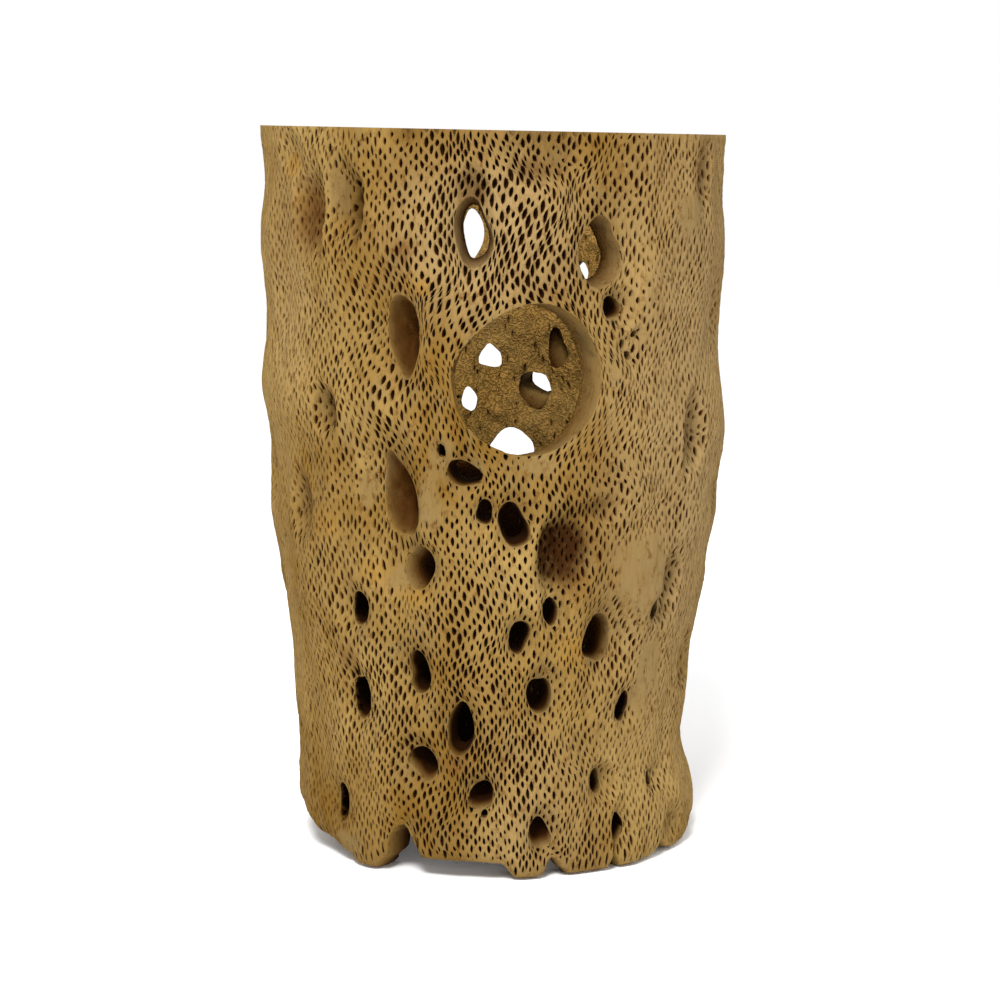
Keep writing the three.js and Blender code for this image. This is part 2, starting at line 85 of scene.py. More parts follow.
@dataclass(frozen=True)
class Mouth:
    """A tunnel or blind pit, by its mouth in the outer face.

    Lean tips the mouth, taper thins its upper end and dent sinks it in the face. Narrowing, drop
    and veer place the inner mouth. Collar is the width of smooth skin round it, painted_shade_gain
    tells how soon painted shade darkens it inside, and a depth makes it a blind pit.
    """

    turn: float
    z: float
    wide: float
    tall: float
    lean: float = 0.0
    taper: float = 0.0
    dent: float = 3.2
    narrowing: float = 0.76
    drop: float = 0.0
    veer: float = 0.0
    collar: float = 0.5
    painted_shade_gain: float = 3.2
    depth: float = 0.0

    def inner(self) -> "Mouth":
        """Give the outline of this tunnel in the inner face."""
        return replace(
            self,
            turn=self.turn + self.veer,
            z=self.z - self.drop,
            wide=self.wide * self.narrowing,
            tall=self.tall * self.narrowing,
        )


@dataclass(frozen=True)
class Area:
    """An oval area of the outer face with a depth, a strength or a colour amount."""

    turn: float
    z: float
    wide: float
    tall: float
    amount: float = 1.0


TUNNELS = (
    Mouth(8.9, 160.5, 45.6, 46.4, dent=1.5, narrowing=1.0, drop=1.0, veer=-1.2, collar=0.0, painted_shade_gain=0.6),
    Mouth(-4.7, 205, 11.5, 21, dent=3.5, painted_shade_gain=0.9),
    Mouth(26.8, 198.6, 16, 21, lean=-8, collar=0.6, painted_shade_gain=0.8),
    Mouth(30.7, 182, 7.4, 7.8),
    Mouth(35.8, 173.7, 2.8, 2.4, collar=2.0, dent=1.0),
    Mouth(32.5, 170.7, 2.2, 3.4, collar=0.6, dent=0.5),
    Mouth(34, 167.2, 2.4, 3.4, collar=0.6, dent=0.5),
    Mouth(-12.2, 139, 2.8, 4.8, collar=2.2, dent=1.0),
    Mouth(-2.4, 22, 2.6, 2.6, dent=0.5),
    Mouth(-7, 132, 10.6, 8.6, lean=-20, dent=1.5, collar=1.8),
    Mouth(-2, 119.9, 5.8, 7.4, dent=2),
    Mouth(5.2, 115.6, 9.8, 14, lean=12),
    Mouth(-19.5, 101.4, 12.6, 13.6, dent=4, collar=1.8, painted_shade_gain=1.8, veer=6),
    Mouth(-37, 86.7, 10, 10.5, dent=2.2, veer=-5),
    Mouth(-20.4, 67.8, 8.8, 13.6, taper=0.25),
    Mouth(-38.9, 57.2, 9.4, 16, dent=2.2, veer=-6),
    Mouth(-9, 50, 10.8, 16.4, taper=0.3),
    Mouth(-20.3, 37.5, 11.2, 11.4, drop=-5),
    Mouth(-3.2, 28, 9.4, 9.6, taper=0.3, drop=-4),
    Mouth(-48.2, 20.5, 9, 13, dent=1.8, veer=-8),
    Mouth(7.1, 79.6, 7.6, 10.8),
    Mouth(13.3, 60, 9.2, 13),
    Mouth(15.4, 87.6, 6.2, 9.2),
    Mouth(30.1, 77.7, 12.5, 17.6, taper=0.2, dent=4, collar=1.2, painted_shade_gain=1.6),
    Mouth(47.2, 85.2, 9, 7, dent=2, veer=7),
    Mouth(39.9, 53.5, 8.6, 9.8, dent=2.2, veer=6),
    Mouth(32.4, 29.7, 7.4, 7.8),
    Mouth(52.6, 27, 7.4, 6, dent=1.6, veer=8),
    Mouth(13.5, 15, 7.4, 12.5, lean=30, drop=-8),
    Mouth(38, 14, 6.4, 11.5, drop=-4, dent=2.2, veer=5),
    Mouth(72, 178, 9, 15),
    Mouth(78, 118, 10, 15),
    Mouth(70, 62, 9, 13),
    Mouth(88, 206, 10, 18),
    Mouth(93, 148, 11, 17),
    Mouth(95, 88, 9, 14),
    Mouth(84, 33, 9, 12),
    Mouth(108, 177, 9, 16),
    Mouth(112, 118, 12, 15),
    Mouth(108, 56, 10, 14),
    Mouth(126, 209, 11, 17),
    Mouth(131, 150, 12, 19),
    Mouth(128, 88, 10, 14),
    Mouth(125, 32, 10, 12),
    Mouth(147, 115, 10, 15),
    Mouth(143, 61, 11, 15, veer=-6),
    Mouth(151, 184.5, 12, 14),
    Mouth(152, 159, 10, 12, veer=7, narrowing=1.1, painted_shade_gain=0.9),
    Mouth(165, 147.5, 9, 10.5, drop=3.5, veer=1.5, narrowing=1.4, painted_shade_gain=0.8),
    Mouth(181, 156, 10, 11, taper=0.35, narrowing=0.85, painted_shade_gain=0.7),
    Mouth(188, 140.5, 8, 11, narrowing=0.8, painted_shade_gain=0.7),
    Mouth(174.5, 121.8, 22, 18.5, narrowing=0.88, painted_shade_gain=0.6),
    Mouth(187, 199, 12, 24),
    Mouth(167, 214, 10, 14),
    Mouth(163, 84, 10, 14),
    Mouth(181, 66, 11, 14),
    Mouth(159, 34, 9, 12),
    Mouth(177, 27, 9, 11),
    Mouth(197, 93, 12, 15),
    Mouth(198, 42, 10, 14),
    Mouth(206, 170, 11, 17),
    Mouth(208, 126, 9, 14),
    Mouth(213, 214, 10, 16),
    Mouth(215, 70, 10, 14),
    Mouth(226, 188, 11, 18),
    Mouth(224, 147, 10, 15),
    Mouth(229, 104, 12, 16),
    Mouth(233, 48, 10, 14),
    Mouth(245, 216, 9, 14),
    Mouth(243, 164, 11, 17),
    Mouth(247, 127, 9, 13),
    Mouth(249, 82, 10, 14),
    Mouth(246, 27, 9, 12),
    Mouth(263, 197, 11, 17),
    Mouth(262, 145, 11, 15),
    Mouth(264, 104, 9, 13),
    Mouth(266, 56, 10, 14),
    Mouth(279, 173, 9, 14),
    Mouth(281, 124, 9, 13),
    Mouth(283, 84, 9, 12),
    Mouth(286, 38, 9, 12),
)
BLIND_PITS = (
    Mouth(-22.2, 174, 11, 28, lean=3, dent=4, depth=9),
    Mouth(-24.5, 124, 13, 29, lean=10, taper=0.3, dent=4, depth=8.5),
)
HOLLOWS = (
    Area(18.5, 107, 19, 26, 7),
    Area(14.3, 105, 6.5, 22, 6.5),
    Area(27.5, 119, 12.6, 8.8, 3.5),
    Area(11.6, 229, 21, 18, 6.5),
    Area(-21.3, 235, 11, 8, 3),
    Area(-4.5, 219, 9, 12, 3.5),
    Area(-38.2, 214, 13, 26, 4.5),
    Area(-34.4, 212, 5.5, 19, 5.5),
    Area(-50, 211.7, 13, 28, 4.5),
    Area(-46.3, 206, 5, 20, 5),
    Area(-45.5, 149.4, 11, 15, 6),
    Area(-57.3, 117.3, 11, 22, 5),
    Area(-57, 229, 13, 14, 2),
    Area(58.6, 141, 12, 24, 5),
    Area(54.6, 137, 5, 19, 5),
    Area(53, 95, 11, 17, 4.5),
    Area(62, 223, 9, 22, 3),
    Area(63, 10, 12, 12, 3),
    Area(43, 95, 24, 34, -3.2),
    Area(-15, 120, 9, 24, -1.8),
    Area(52, 210, 20, 16, -1.2),
    Area(148, 228, 14, 14, 4),
    Area(228, 130, 12, 20, 3),
    Area(118, 142, 12, 22, 3),
    Area(96, 176, 12, 20, 3),
)
SMOOTH_SKIN = (
    Area(-15.5, 126, 8, 26),
    Area(-33.5, 124, 6, 16),
    Area(-27, 97, 9, 8),
    Area(52, 210, 16, 15),
    Area(44, 95, 20, 34),
    Area(48, 62, 18, 30),
    Area(-47, 7, 16, 12),
    Area(-41, 215, 8, 24, 0.7),
    Area(-15.2, 202.4, 4.8, 16.5),
    Area(15.9, 228.3, 5.4, 11.9),
    Area(8.9, 134.5, 30, 6, 0.8),
    Area(29.5, 156, 6, 34, 0.7),
    Area(37.1, 99.9, 24, 25, 0.8),
)
USUAL_PORE = 0.75
PORE_SIZE = (
    Area(-0.5, 204.8, 65.2, 56.9, 0.45),
    Area(-7.1, 84, 22.9, 42.3, 0.25),
    Area(-0.7, 38.3, 35.3, 29.3, 0.35),
    Area(-41.2, 62.4, 48.6, 53.9, 0.2),
    Area(45.6, 186.8, 23.6, 25, -0.3),
    Area(48.7, 149, 25.1, 44.6, -0.3),
    Area(42.8, 35.5, 44.6, 39.9, -0.2),
)
SLACK_NET = (Area(9.7, 203.3, 20.3, 30, 0.5), Area(-0.5, 204.8, 65.2, 56.9, 0.5))
FLOW = (
    Area(9, 202, 22, 40, 0.34),
    Area(0, 228, 24, 22, -0.34),
    Area(24, 222, 14, 20, 0.36),
    Area(34, 176, 15, 34, -0.4),
    Area(-12, 180, 15, 34, 0.36),
    Area(-30, 168, 24, 44, 0.24),
    Area(2, 96, 22, 34, -0.28),
    Area(-28, 80, 20, 36, 0.3),
    Area(24, 52, 22, 34, 0.3),
    Area(-6, 72, 18, 30, 0.3),
    Area(40, 130, 22, 26, -0.3),
)
WIDE_PORES = (
    Area(16.7, 177.7, 1.8, 3),
    Area(11.7, 219, 1.8, 4.2),
    Area(-6.4, 138.6, 1.8, 2.5),
    Area(26, 108.6, 2.1, 1.9),
)
BROWN_STAINS = (
    Area(-50.8, 209, 13, 26.3, 0.9),
    Area(-5.1, 215.9, 8.7, 10.4, 0.5),
    Area(-22.5, 173.8, 12, 28.1, 0.5),
    Area(-20.7, 200.1, 6.8, 7.3, 0.7),
    Area(9.5, 224, 9.9, 8, 0.5),
    Area(59, 222.3, 10.9, 22.4, 0.7),
    Area(20.2, 97.9, 11.8, 13, 0.6),
    Area(-42.5, 70.1, 10, 10.8, 0.5),
    Area(-10.5, 38, 10.7, 9.7, 0.6),
)
YELLOW_STAINS = (
    Area(-57.5, 225.1, 9, 8, 1.0),
    Area(-52.8, 214.4, 9, 9.3, 0.5),
    Area(-38.2, 207, 8.5, 6.4, 0.7),
    Area(-16.3, 189.2, 4.9, 6.7, 0.9),
    Area(-20.7, 189.4, 8.2, 7.9, 0.6),
    Area(-46.1, 112.6, 12.8, 11.1, 0.5),
    Area(-31.9, 99.3, 11.2, 9, 0.8),
    Area(-19.3, 92.4, 8.8, 5.9, 0.8),
    Area(21.6, 74.9, 12.8, 13.2, 0.8),
)
# Painted shade along the edges of hollows; a negative amount takes shade away.
PAINTED_SHADE_EDGES = (
    Area(18.5, 106.5, 19, 26, 0.7),
    Area(-33.8, 211, 4, 21, 0.8),
    Area(-46.2, 207, 5, 20, 0.4),
    Area(53.8, 136, 4, 19, 0.5),
    Area(10.5, 231, 22, 15, -0.5),
)
ASH = (
    Area(0, 205, 66, 60),
    Area(60, 150, 90, 240),
    Area(14, 20, 50, 60, 0.5),
    Area(-60, 190, 30, 90, 0.5),
)
LEFT_PROFILE = (
    (0, 64), (20, 66), (60, 67.3), (92, 71.3), (114, 73), (132, 73), (153, 76.2),
    (178, 74.8), (204, 76.4), (221, 74.9), (236, 75.6),
)
RIGHT_PROFILE = (
    (0, 66.5), (12, 67), (34, 63.5), (60, 66), (92, 70.5), (115, 74.3), (140, 76.9),
    (166, 74.6), (200, 76.5), (216, 75.5), (236, 75.8),
)
FOOT_OUTLINE = (
    (-180, 0), (-171, 0), (-164, 5), (-158, 9), (-152, 1), (-143, 0), (-136, 3), (-128, 6),
    (-122, 0), (-112, 0), (-106, 7), (-98, 12), (-90, 10), (-77, 11), (-60, 5), (-47, 2),
    (-43, 0), (-37, 0), (-33, 4), (-28, 14), (-25, 18), (-22.5, 14), (-21, 5.5), (-5, 5.5),
    (2, 5), (7, 0), (14, 0), (17.5, 6), (21, 2), (23, 0), (35, 0), (37.5, 4.5), (40, 0),
    (52, 0), (55, 0.5), (57.5, 5), (62, 1), (66, 0), (74, 0), (79, 8), (86, 4), (92, 0),
    (101, 0), (108, 8), (113, 9), (118, 2), (124, 0), (136, 0), (142, 4), (150, 11),
    (156, 3), (161, 0), (180, 0),
)


def near_turn(turn: np.ndarray | float) -> np.ndarray | float:
    """Bring turns into the half circle either side of zero."""
    return turn - 360 * np.round(turn / 360)


def arc_of(turn: np.ndarray | float) -> np.ndarray | float:
    """Give the arc length on the unrolled tube for turns."""
    return np.radians(turn) * UNROLLED_RADIUS


def turn_of(arc: np.ndarray | float) -> np.ndarray | float:
    """Give the turns for arc lengths on the unrolled tube."""
    return np.degrees(arc / UNROLLED_RADIUS)


def wrap_arc(arc: np.ndarray) -> np.ndarray:
    """Bring arc lengths into the half circle either side of zero."""
    return arc - CIRCLE * np.round(arc / CIRCLE)


def smooth(value: np.ndarray) -> np.ndarray:
    """Ease values from 0 to 1, clipped at both ends."""
    clipped = np.clip(value, 0, 1)
    return clipped * clipped * (3 - 2 * clipped)


def along(points: tuple[Pair, ...], at: np.ndarray) -> np.ndarray:
    """Read values along a list of points, eased between them.

    Args:
        points: Pairs of place and value, in order of place.
        at: The places to read.

    Returns:
        The value at each place.
    """
    places = np.array([point[0] for point in points], float)
    values = np.array([point[1] for point in points], float)
    index = np.clip(np.searchsorted(places, at), 1, len(places) - 1)
    share = smooth((at - places[index - 1]) / (places[index] - places[index - 1]))
    return values[index - 1] + (values[index] - values[index - 1]) * share


class ValueNoise:
    """Smooth repeatable noise in space, between -1 and 1."""

    PRIMES = (73856093, 19349663, 83492791)
    SIZE = 8192

    def __init__(self, seed: int) -> None:
        """Draw the table of values from a seed."""
        self.table = np.random.default_rng(seed).random(self.SIZE) * 2 - 1

    def corner(self, cell: np.ndarray) -> np.ndarray:
        """Give the value at whole grid corners."""
        first, second, third = (cell[..., axis] * prime for axis, prime in enumerate(self.PRIMES))
        return self.table[(first ^ second ^ third) & (self.SIZE - 1)]

    def at(self, points: np.ndarray, scale: Triple) -> np.ndarray:
        """Read the noise at points in space.

        Args:
            points: Points, with x, y and z last.
            scale: Size of one grid step along x, y and z.

        Returns:
            One value for each point.
        """
        place = points / np.array(scale)
        cell = np.floor(place).astype(np.int64)
        part = smooth(place - cell)
        total = np.zeros(points.shape[:-1])
        for corner in range(8):
            step = np.array([corner & 1, corner >> 1 & 1, corner >> 2 & 1])
            weight = np.prod(np.where(step == 1, part, 1 - part), axis=-1)
            total += weight * self.corner(cell + step)
        return total


@dataclass
class TubeShape:
    """The form of the tube that the net lies on."""

    top_height: float = 236.0
    top_fall: float = 0.0205
    wall: float = 13.0
    hollow_reach: float = 1.35
    dent_reach: float = 2.0
    deepest_dent: float = 9.0
    steepness: float = 2.5
    foot_lift: float = 1.4
    flare: float = 0.5
    dent_gain: float = 1.5
    outer_noise_radius: float = 70.0
    inner_noise_radius: float = 55.0
    outer_waves: tuple[Wave, ...] = (
        (1.1, (20, 20, 38)), (0.75, (9, 9, 30)), (0.32, (4.5, 4.5, 9)), (0.14, (1.6, 1.6, 7)),
    )
    inner_waves: tuple[Wave, ...] = ((1.1, (9, 9, 12)), (0.9, (3.2, 3.2, 4)))
    skin_waves: tuple[Wave, ...] = ((0.5, (4, 4, 7)),)
    pore_waves: tuple[Wave, ...] = ((0.26, (11, 11, 20)),)
    worn_depth: float = 1.6
    worn_height: float = 7.0
    collar_skin: float = 0.55
    faintest_skin: float = 0.05
    skin_edge: float = 0.15
    narrowest_pore: float = 0.2
    widest_pore: float = 1.7
    noise: ValueNoise = field(default_factory=lambda: ValueNoise(11))

    def inside(self, area: Area | Mouth, turn: np.ndarray, z: np.ndarray, reach: float) -> np.ndarray:
        """Tell how deep inside an oval area points lie: 1 at its middle, fading to 0 outside.

        Args:
            area: The oval area.
            turn: Turns of the points.
            z: Heights of the points.
            reach: How far past its size the area fades.

        Returns:
            A share for each point.
        """
        across = arc_of(near_turn(turn - area.turn)) / (area.wide / 2)
        up = (z - area.z) / (area.tall / 2)
        distance = np.minimum(np.hypot(across, up) / reach, 1)
        return (1 - distance**self.steepness) ** 2

    def total(self, areas: tuple[Area, ...], turn: np.ndarray, z: np.ndarray, reach: float) -> np.ndarray:
        """Add up the amounts of several areas at points."""
        value = np.zeros(np.shape(turn))
        for area in areas:
            value += area.amount * self.inside(area, turn, z, reach)
        return value

    def foot_height(self, turn: np.ndarray) -> np.ndarray:
        """Give the height of the worn foot at turns."""
        return along(FOOT_OUTLINE, near_turn(turn))

    def sawn_height(self, turn: np.ndarray, radius: np.ndarray) -> np.ndarray:
        """Give the height of the sawn top at turns and radii."""
        return self.top_height - self.top_fall * radius * np.sin(np.radians(turn))

    def body_radius(self, turn: np.ndarray, z: np.ndarray) -> np.ndarray:
        """Give the radius of the tube before any dent is made in it."""
        right = (1 + np.sin(np.radians(turn))) / 2
        return (1 - right) * along(LEFT_PROFILE, z) + right * along(RIGHT_PROFILE, z)

    def space(self, turn: np.ndarray, z: np.ndarray, radius: float) -> np.ndarray:
        """Give points in space on a plain tube of one radius."""
        angle = np.radians(turn)
        return np.stack([radius * np.sin(angle), -radius * np.cos(angle), z], axis=-1)

    def unevenness(
        self, waves: tuple[Wave, ...], turn: np.ndarray, z: np.ndarray, radius: float
    ) -> np.ndarray:
        """Add up waves of noise at points on a plain tube of one radius."""
        point = self.space(turn, z, radius)
        return sum(height * self.noise.at(point, grain) for height, grain in waves)

    def outer_radius(self, turn: np.ndarray, z: np.ndarray) -> np.ndarray:
        """Give the radius of the outer face, with its dents, hollows and fine unevenness."""
        dent = self.total(HOLLOWS, turn, z, self.hollow_reach)
        for mouth in TUNNELS + BLIND_PITS:
            aside = math.sin(math.radians(mouth.turn)) * self.flare * mouth.wide / UNROLLED_RADIUS
            flared = replace(mouth, turn=mouth.turn + math.degrees(aside))
            dent += self.dent_gain * mouth.dent * self.inside(flared, turn, z, self.dent_reach)
        rough = self.unevenness(self.outer_waves, turn, z, self.outer_noise_radius)
        worn = self.worn_depth * (1 - smooth((z - self.foot_height(turn)) / self.worn_height)) ** 2
        return self.body_radius(turn, z) - np.minimum(dent, self.deepest_dent) + rough - worn

    def inner_radius(self, turn: np.ndarray, z: np.ndarray) -> np.ndarray:
        """Give the radius of the rough inner face."""
        rough = self.unevenness(self.inner_waves, turn, z, self.inner_noise_radius)
        return self.body_radius(turn, z) - self.wall + rough

    def skin(self, turn: np.ndarray, z: np.ndarray) -> np.ndarray:
        """Tell how much of the smooth skin is left at points, from 0 to 1."""
        patches = self.total(SMOOTH_SKIN, turn, z, self.hollow_reach)
        for mouth in TUNNELS + BLIND_PITS:
            grown = replace(mouth, wide=mouth.wide + 2 * mouth.collar, tall=mouth.tall + 2 * mouth.collar)
            patches += self.collar_skin * (self.inside(grown, turn, z, 1.0) > 0)
        ragged = self.unevenness(self.skin_waves, turn, z, self.outer_noise_radius)
        patches += ragged * (patches > self.faintest_skin)
        return smooth((patches - self.skin_edge) / (1 - self.skin_edge))

    def openness(self, turn: np.ndarray, z: np.ndarray) -> np.ndarray:
        """Tell how wide the pores stand open at points: 0 closed, 1 wide."""
        wide = USUAL_PORE + self.total(PORE_SIZE, turn, z, self.hollow_reach)
        wide += self.total(WIDE_PORES, turn, z, self.hollow_reach)
        wide += self.unevenness(self.pore_waves, turn, z, self.outer_noise_radius)
        return np.clip(wide, self.narrowest_pore, self.widest_pore) * (1 - self.skin(turn, z))


@dataclass
class Rims:
    """The outlines of many mouths, ready to be read for many points at once."""

    mouths: list[Mouth]
    big_width: float = 30.0
    big_wobble: float = 0.04
    usual_wobble: float = 0.11
    waves: int = 3

    def __post_init__(self) -> None:
        """Keep the numbers of every mouth in rows."""
        self.arc = np.array([arc_of(near_turn(mouth.turn)) for mouth in self.mouths])
        self.z, self.half_wide, self.half_tall, self.taper, lean = np.array(
            [(mouth.z, mouth.wide / 2, mouth.tall / 2, mouth.taper, mouth.lean) for mouth in self.mouths]).T
        self.lean = np.radians(lean)
        self.uneven = np.where(self.half_wide > self.big_width / 2, self.big_wobble, self.usual_wobble)
        random = np.random.default_rng(29)
        self.turned = random.uniform(0, 2 * math.pi, (self.waves, len(self.mouths)))

    def wobble(self, number: np.ndarray, angle: np.ndarray) -> np.ndarray:
        """Tell how far the uneven rims lie from their plain ovals, as a factor."""
        waves = sum(np.sin((k + 2) * angle + self.turned[k][number]) / (k + 1) for k in range(self.waves))
        return 1 + self.uneven[number] * waves

    def snap(self, number: np.ndarray, arc: np.ndarray, z: np.ndarray) -> tuple[np.ndarray, np.ndarray]:
        """Move points to the rim of their mouths, along their line from the middle.

        Args:
            number: The number of each point's mouth.
            arc: Arc lengths of the points.
            z: Heights of the points.

        Returns:
            The new arc lengths and heights.
        """
        lean = self.lean[number]
        cosine, sine = np.cos(lean), np.sin(lean)
        across, up = wrap_arc(arc - self.arc[number]), z - self.z[number]
        flat_up = (up * cosine - across * sine) / self.half_tall[number]
        flat_across = (across * cosine + up * sine) / self.half_wide[number]
        taper = self.taper[number]
        angle = np.arctan2(flat_up, flat_across / (1 - taper * np.clip(flat_up, -1, 1)))
        size = self.wobble(number, angle)
        rim_up = self.half_tall[number] * np.sin(angle) * size
        rim_across = self.half_wide[number] * np.cos(angle) * (1 - taper * np.sin(angle)) * size
        new_arc = self.arc[number] + rim_across * cosine - rim_up * sine
        return new_arc, self.z[number] + rim_across * sine + rim_up * cosine


@dataclass
class Net:
    """The strands' crossing points on a grid of rows and half columns.

    Places where row and half column add up to an even number are crossing points. The places
    between them are cells, each with a pore or a share of a mouth.
    """

    shape: TubeShape
    columns: int = 168
    rows: int = 106
    seed_wide: float = 0.52
    seed_tall: float = 1.0
    settle_steps: int = 900
    end_rows: int = 2
    least_carried: float = 0.5
    slack_reach: float = 1.5
    slack_give: float = 0.6
    least_pull: float = 1e-6

    def __post_init__(self) -> None:
        """Lay out the grid and leave out the cells of every mouth."""
        self.half = 2 * self.columns
        self.mouths = list(TUNNELS + BLIND_PITS)
        row, half = np.meshgrid(np.arange(self.rows + 1), np.arange(self.half), indexing="ij")
        self.is_cell = (row + half) % 2 == 1
        self.turn = half * 360.0 / self.half
        foot = self.shape.foot_height(self.turn) + self.shape.foot_lift
        top = self.shape.sawn_height(self.turn, self.shape.body_radius(self.turn, self.shape.top_height))
        self.z = foot + (top - foot) * row / self.rows
        self.owner = np.full(row.shape, -1)
        self.taken = np.zeros(row.shape, bool)
        self.loops = [self.leave_out(number) for number in range(len(self.mouths))]

    def beside(self, row: int, half: int) -> list[tuple[int, int]]:
        """Give the right, upper, left and lower neighbours of a place."""
        return [
            (row, (half + 1) % self.half),
            (row + 1, half),
            (row, (half - 1) % self.half),
            (row - 1, half),
        ]

    def leave_out(self, number: int) -> list[tuple[int, int]]:
        """Leave out the cells of one mouth.

        Args:
            number: The mouth's number.

        Returns:
            The loop of crossing points round it, against the clock from outside.
        """
        mouth = self.mouths[number]
        lean = math.radians(mouth.lean)
        across = arc_of(near_turn(self.turn - mouth.turn))
        up = self.z - mouth.z
        flat_across = (across * math.cos(lean) + up * math.sin(lean)) / (mouth.wide / 2)
        flat_up = (up * math.cos(lean) - across * math.sin(lean)) / (mouth.tall / 2)
        distance = np.hypot(flat_across / self.seed_wide, flat_up / self.seed_tall)
        distance[~self.free()] = np.inf
        seed = tuple(int(v) for v in np.unravel_index(np.argmin(distance), distance.shape))
        chosen = {tuple(int(v) for v in place) for place in np.argwhere(distance < 1)} | {seed}
        chosen = self.joined_to(seed, self.unpinched(chosen))
        for place in chosen:
            self.owner[place] = number
            for other in self.beside(*place):
                self.taken[other] = True
        return self.walk(chosen)

    def free(self) -> np.ndarray:
        """Tell which cells touch no mouth and lie clear of both ends."""
        touched = np.roll(self.taken, 1, 1) | np.roll(self.taken, -1, 1)
        touched[1:] |= self.taken[:-1]
        touched[:-1] |= self.taken[1:]
        open_cells = self.is_cell & ~touched
        open_cells[: self.end_rows] = False
        open_cells[self.rows - self.end_rows + 1 :] = False
        return open_cells

    def joined_to(self, seed: tuple[int, int], chosen: set[tuple[int, int]]) -> set[tuple[int, int]]:
        """Give the chosen cells that a chain of shared sides joins to the seed cell."""
        found, waiting = {seed}, [seed]
        while waiting:
            row, half = waiting.pop()
            for step_row, step_half in ((1, 1), (1, -1), (-1, 1), (-1, -1)):
                other = (row + step_row, (half + step_half) % self.half)
                if other in chosen and other not in found:
                    found.add(other)
                    waiting.append(other)
        return found

    def unpinched(self, chosen: set[tuple[int, int]]) -> set[tuple[int, int]]:
        """Fill in free cells, or give up chosen ones, until no two meet at a corner alone.

        Args:
            chosen: The chosen cells.

        Returns:
            The cells that are chosen now.
        """
        free = self.free()
        changed = True
        while changed:
            changed = False
            for corner in sorted({corner for place in chosen for corner in self.beside(*place)}):
                right, upper, left, lower = self.beside(*corner)
                for pair, others in (((upper, lower), (right, left)), ((right, left), (upper, lower))):
                    if all(p in chosen for p in pair) and not any(o in chosen for o in others):
                        if all(free[o] for o in others):
                            chosen.update(others)
                        else:
                            chosen.discard(pair[0])
                        changed = True
        return chosen

    def walk(self, chosen: set[tuple[int, int]]) -> list[tuple[int, int]]:
        """Walk round the outside of chosen cells and give the crossing points in order.

        Args:
            chosen: The cells of one mouth.

        Returns:
            The loop of crossing points round them.
        """
        following: dict[tuple[int, int], tuple[int, int]] = {}
        sides = set()
        for place in chosen:
            ring = self.beside(*place)
            sides.update((ring[k], ring[(k + 1) % 4]) for k in range(4))
        for start, end in sides:
            if (end, start) not in sides:
                following[start] = end
        first = next(iter(sorted(following)))
        loop = [first]
        while following[loop[-1]] != first:
            loop.append(following[loop[-1]])
        if len(loop) != len(following):
            LOG.warning("a mouth has %d loose sides", len(following) - len(loop))
        return loop

    def stiffness(self) -> np.ndarray:
        """Give the pull of the strands at each place: slack where the pores are large."""
        slack = self.shape.total(SLACK_NET, near_turn(self.turn), self.z, self.slack_reach)
        return 1 / (1 + self.slack_give * slack)

    def settle(self, rims: Rims, kept: np.ndarray) -> tuple[np.ndarray, np.ndarray]:
        """Let the strands settle between the mouths.

        Args:
            rims: The outlines that the loops keep to.
            kept: For each mouth, whether it opens in this face.

        Returns:
            Arc lengths and heights of all places.
        """
        arc = arc_of(self.turn).copy()
        z = self.z.copy()
        gone = (self.owner >= 0) & kept[self.owner]
        joined = [~(np.roll(gone, -side, 1)[:-1] & gone[1:]) for side in (1, -1)]
        pull = self.stiffness()
        spring = [
            link * (pull[:-1] + np.roll(pull, -side, 1)[1:]) / 2 for link, side in zip(joined, (1, -1))
        ]
        rows, halves, numbers = self.rim_places(kept)
        self.carry(arc, z, rims)
        small_rows, small_halves, small = self.small_loops(kept)
        for _ in range(self.settle_steps):
            moved = [np.zeros_like(arc), np.zeros_like(arc)]
            weight = np.zeros_like(arc)
            for strength, side in zip(spring, (1, -1)):
                over_arc = wrap_arc(np.roll(arc, -side, 1)[1:] - arc[:-1]) * strength
                over_z = (np.roll(z, -side, 1)[1:] - z[:-1]) * strength
                for total, over in ((moved[0], over_arc), (moved[1], over_z)):
                    total[:-1] += over
                    total[1:] -= np.roll(over, side, 1)
                weight[:-1] += strength
                weight[1:] += np.roll(strength, side, 1)
            weight = np.maximum(weight, self.least_pull)
            arc[1:-1] += (moved[0] / weight)[1:-1]
            z[1:-1] += (moved[1] / weight)[1:-1]
            over = wrap_arc(arc[small_rows, small_halves] - rims.arc[small][:, None])
            arc[small_rows, small_halves] -= over.mean(1)[:, None]
            z[small_rows, small_halves] -= (z[small_rows, small_halves].mean(1) - rims.z[small])[:, None]
            arc[rows, halves], z[rows, halves] = rims.snap(numbers, arc[rows, halves], z[rows, halves])
        return arc, z

    def carry(self, arc: np.ndarray, z: np.ndarray, rims: Rims) -> None:
        """Carry the strands round a mouth along with it, where it lies elsewhere than its cells.

        Args:
            arc: Arc lengths of all places.
            z: Heights of all places.
            rims: Where the mouths open in this face.
        """
        for number, mouth in enumerate(self.mouths):
            over = wrap_arc(rims.arc[number] - arc_of(near_turn(mouth.turn)))
            rise = rims.z[number] - mouth.z
            if math.hypot(over, rise) > self.least_carried:
                away_arc, away_z = wrap_arc(arc - arc_of(near_turn(mouth.turn))), z - mouth.z
                near = np.exp(-(away_arc**2 + away_z**2) / (mouth.wide * mouth.tall))
                arc += over * near
                z[1:-1] += rise * near[1:-1]

    def small_loops(self, kept: np.ndarray) -> tuple[np.ndarray, np.ndarray, np.ndarray]:
        """Give rows, half columns and numbers of the mouths that take one cell, to centre them."""
        numbers = [n for n, loop in enumerate(self.loops) if kept[n] and len(loop) == 4]
        table = np.array([self.loops[n] for n in numbers])
        return table[:, :, 0], table[:, :, 1], np.array(numbers)

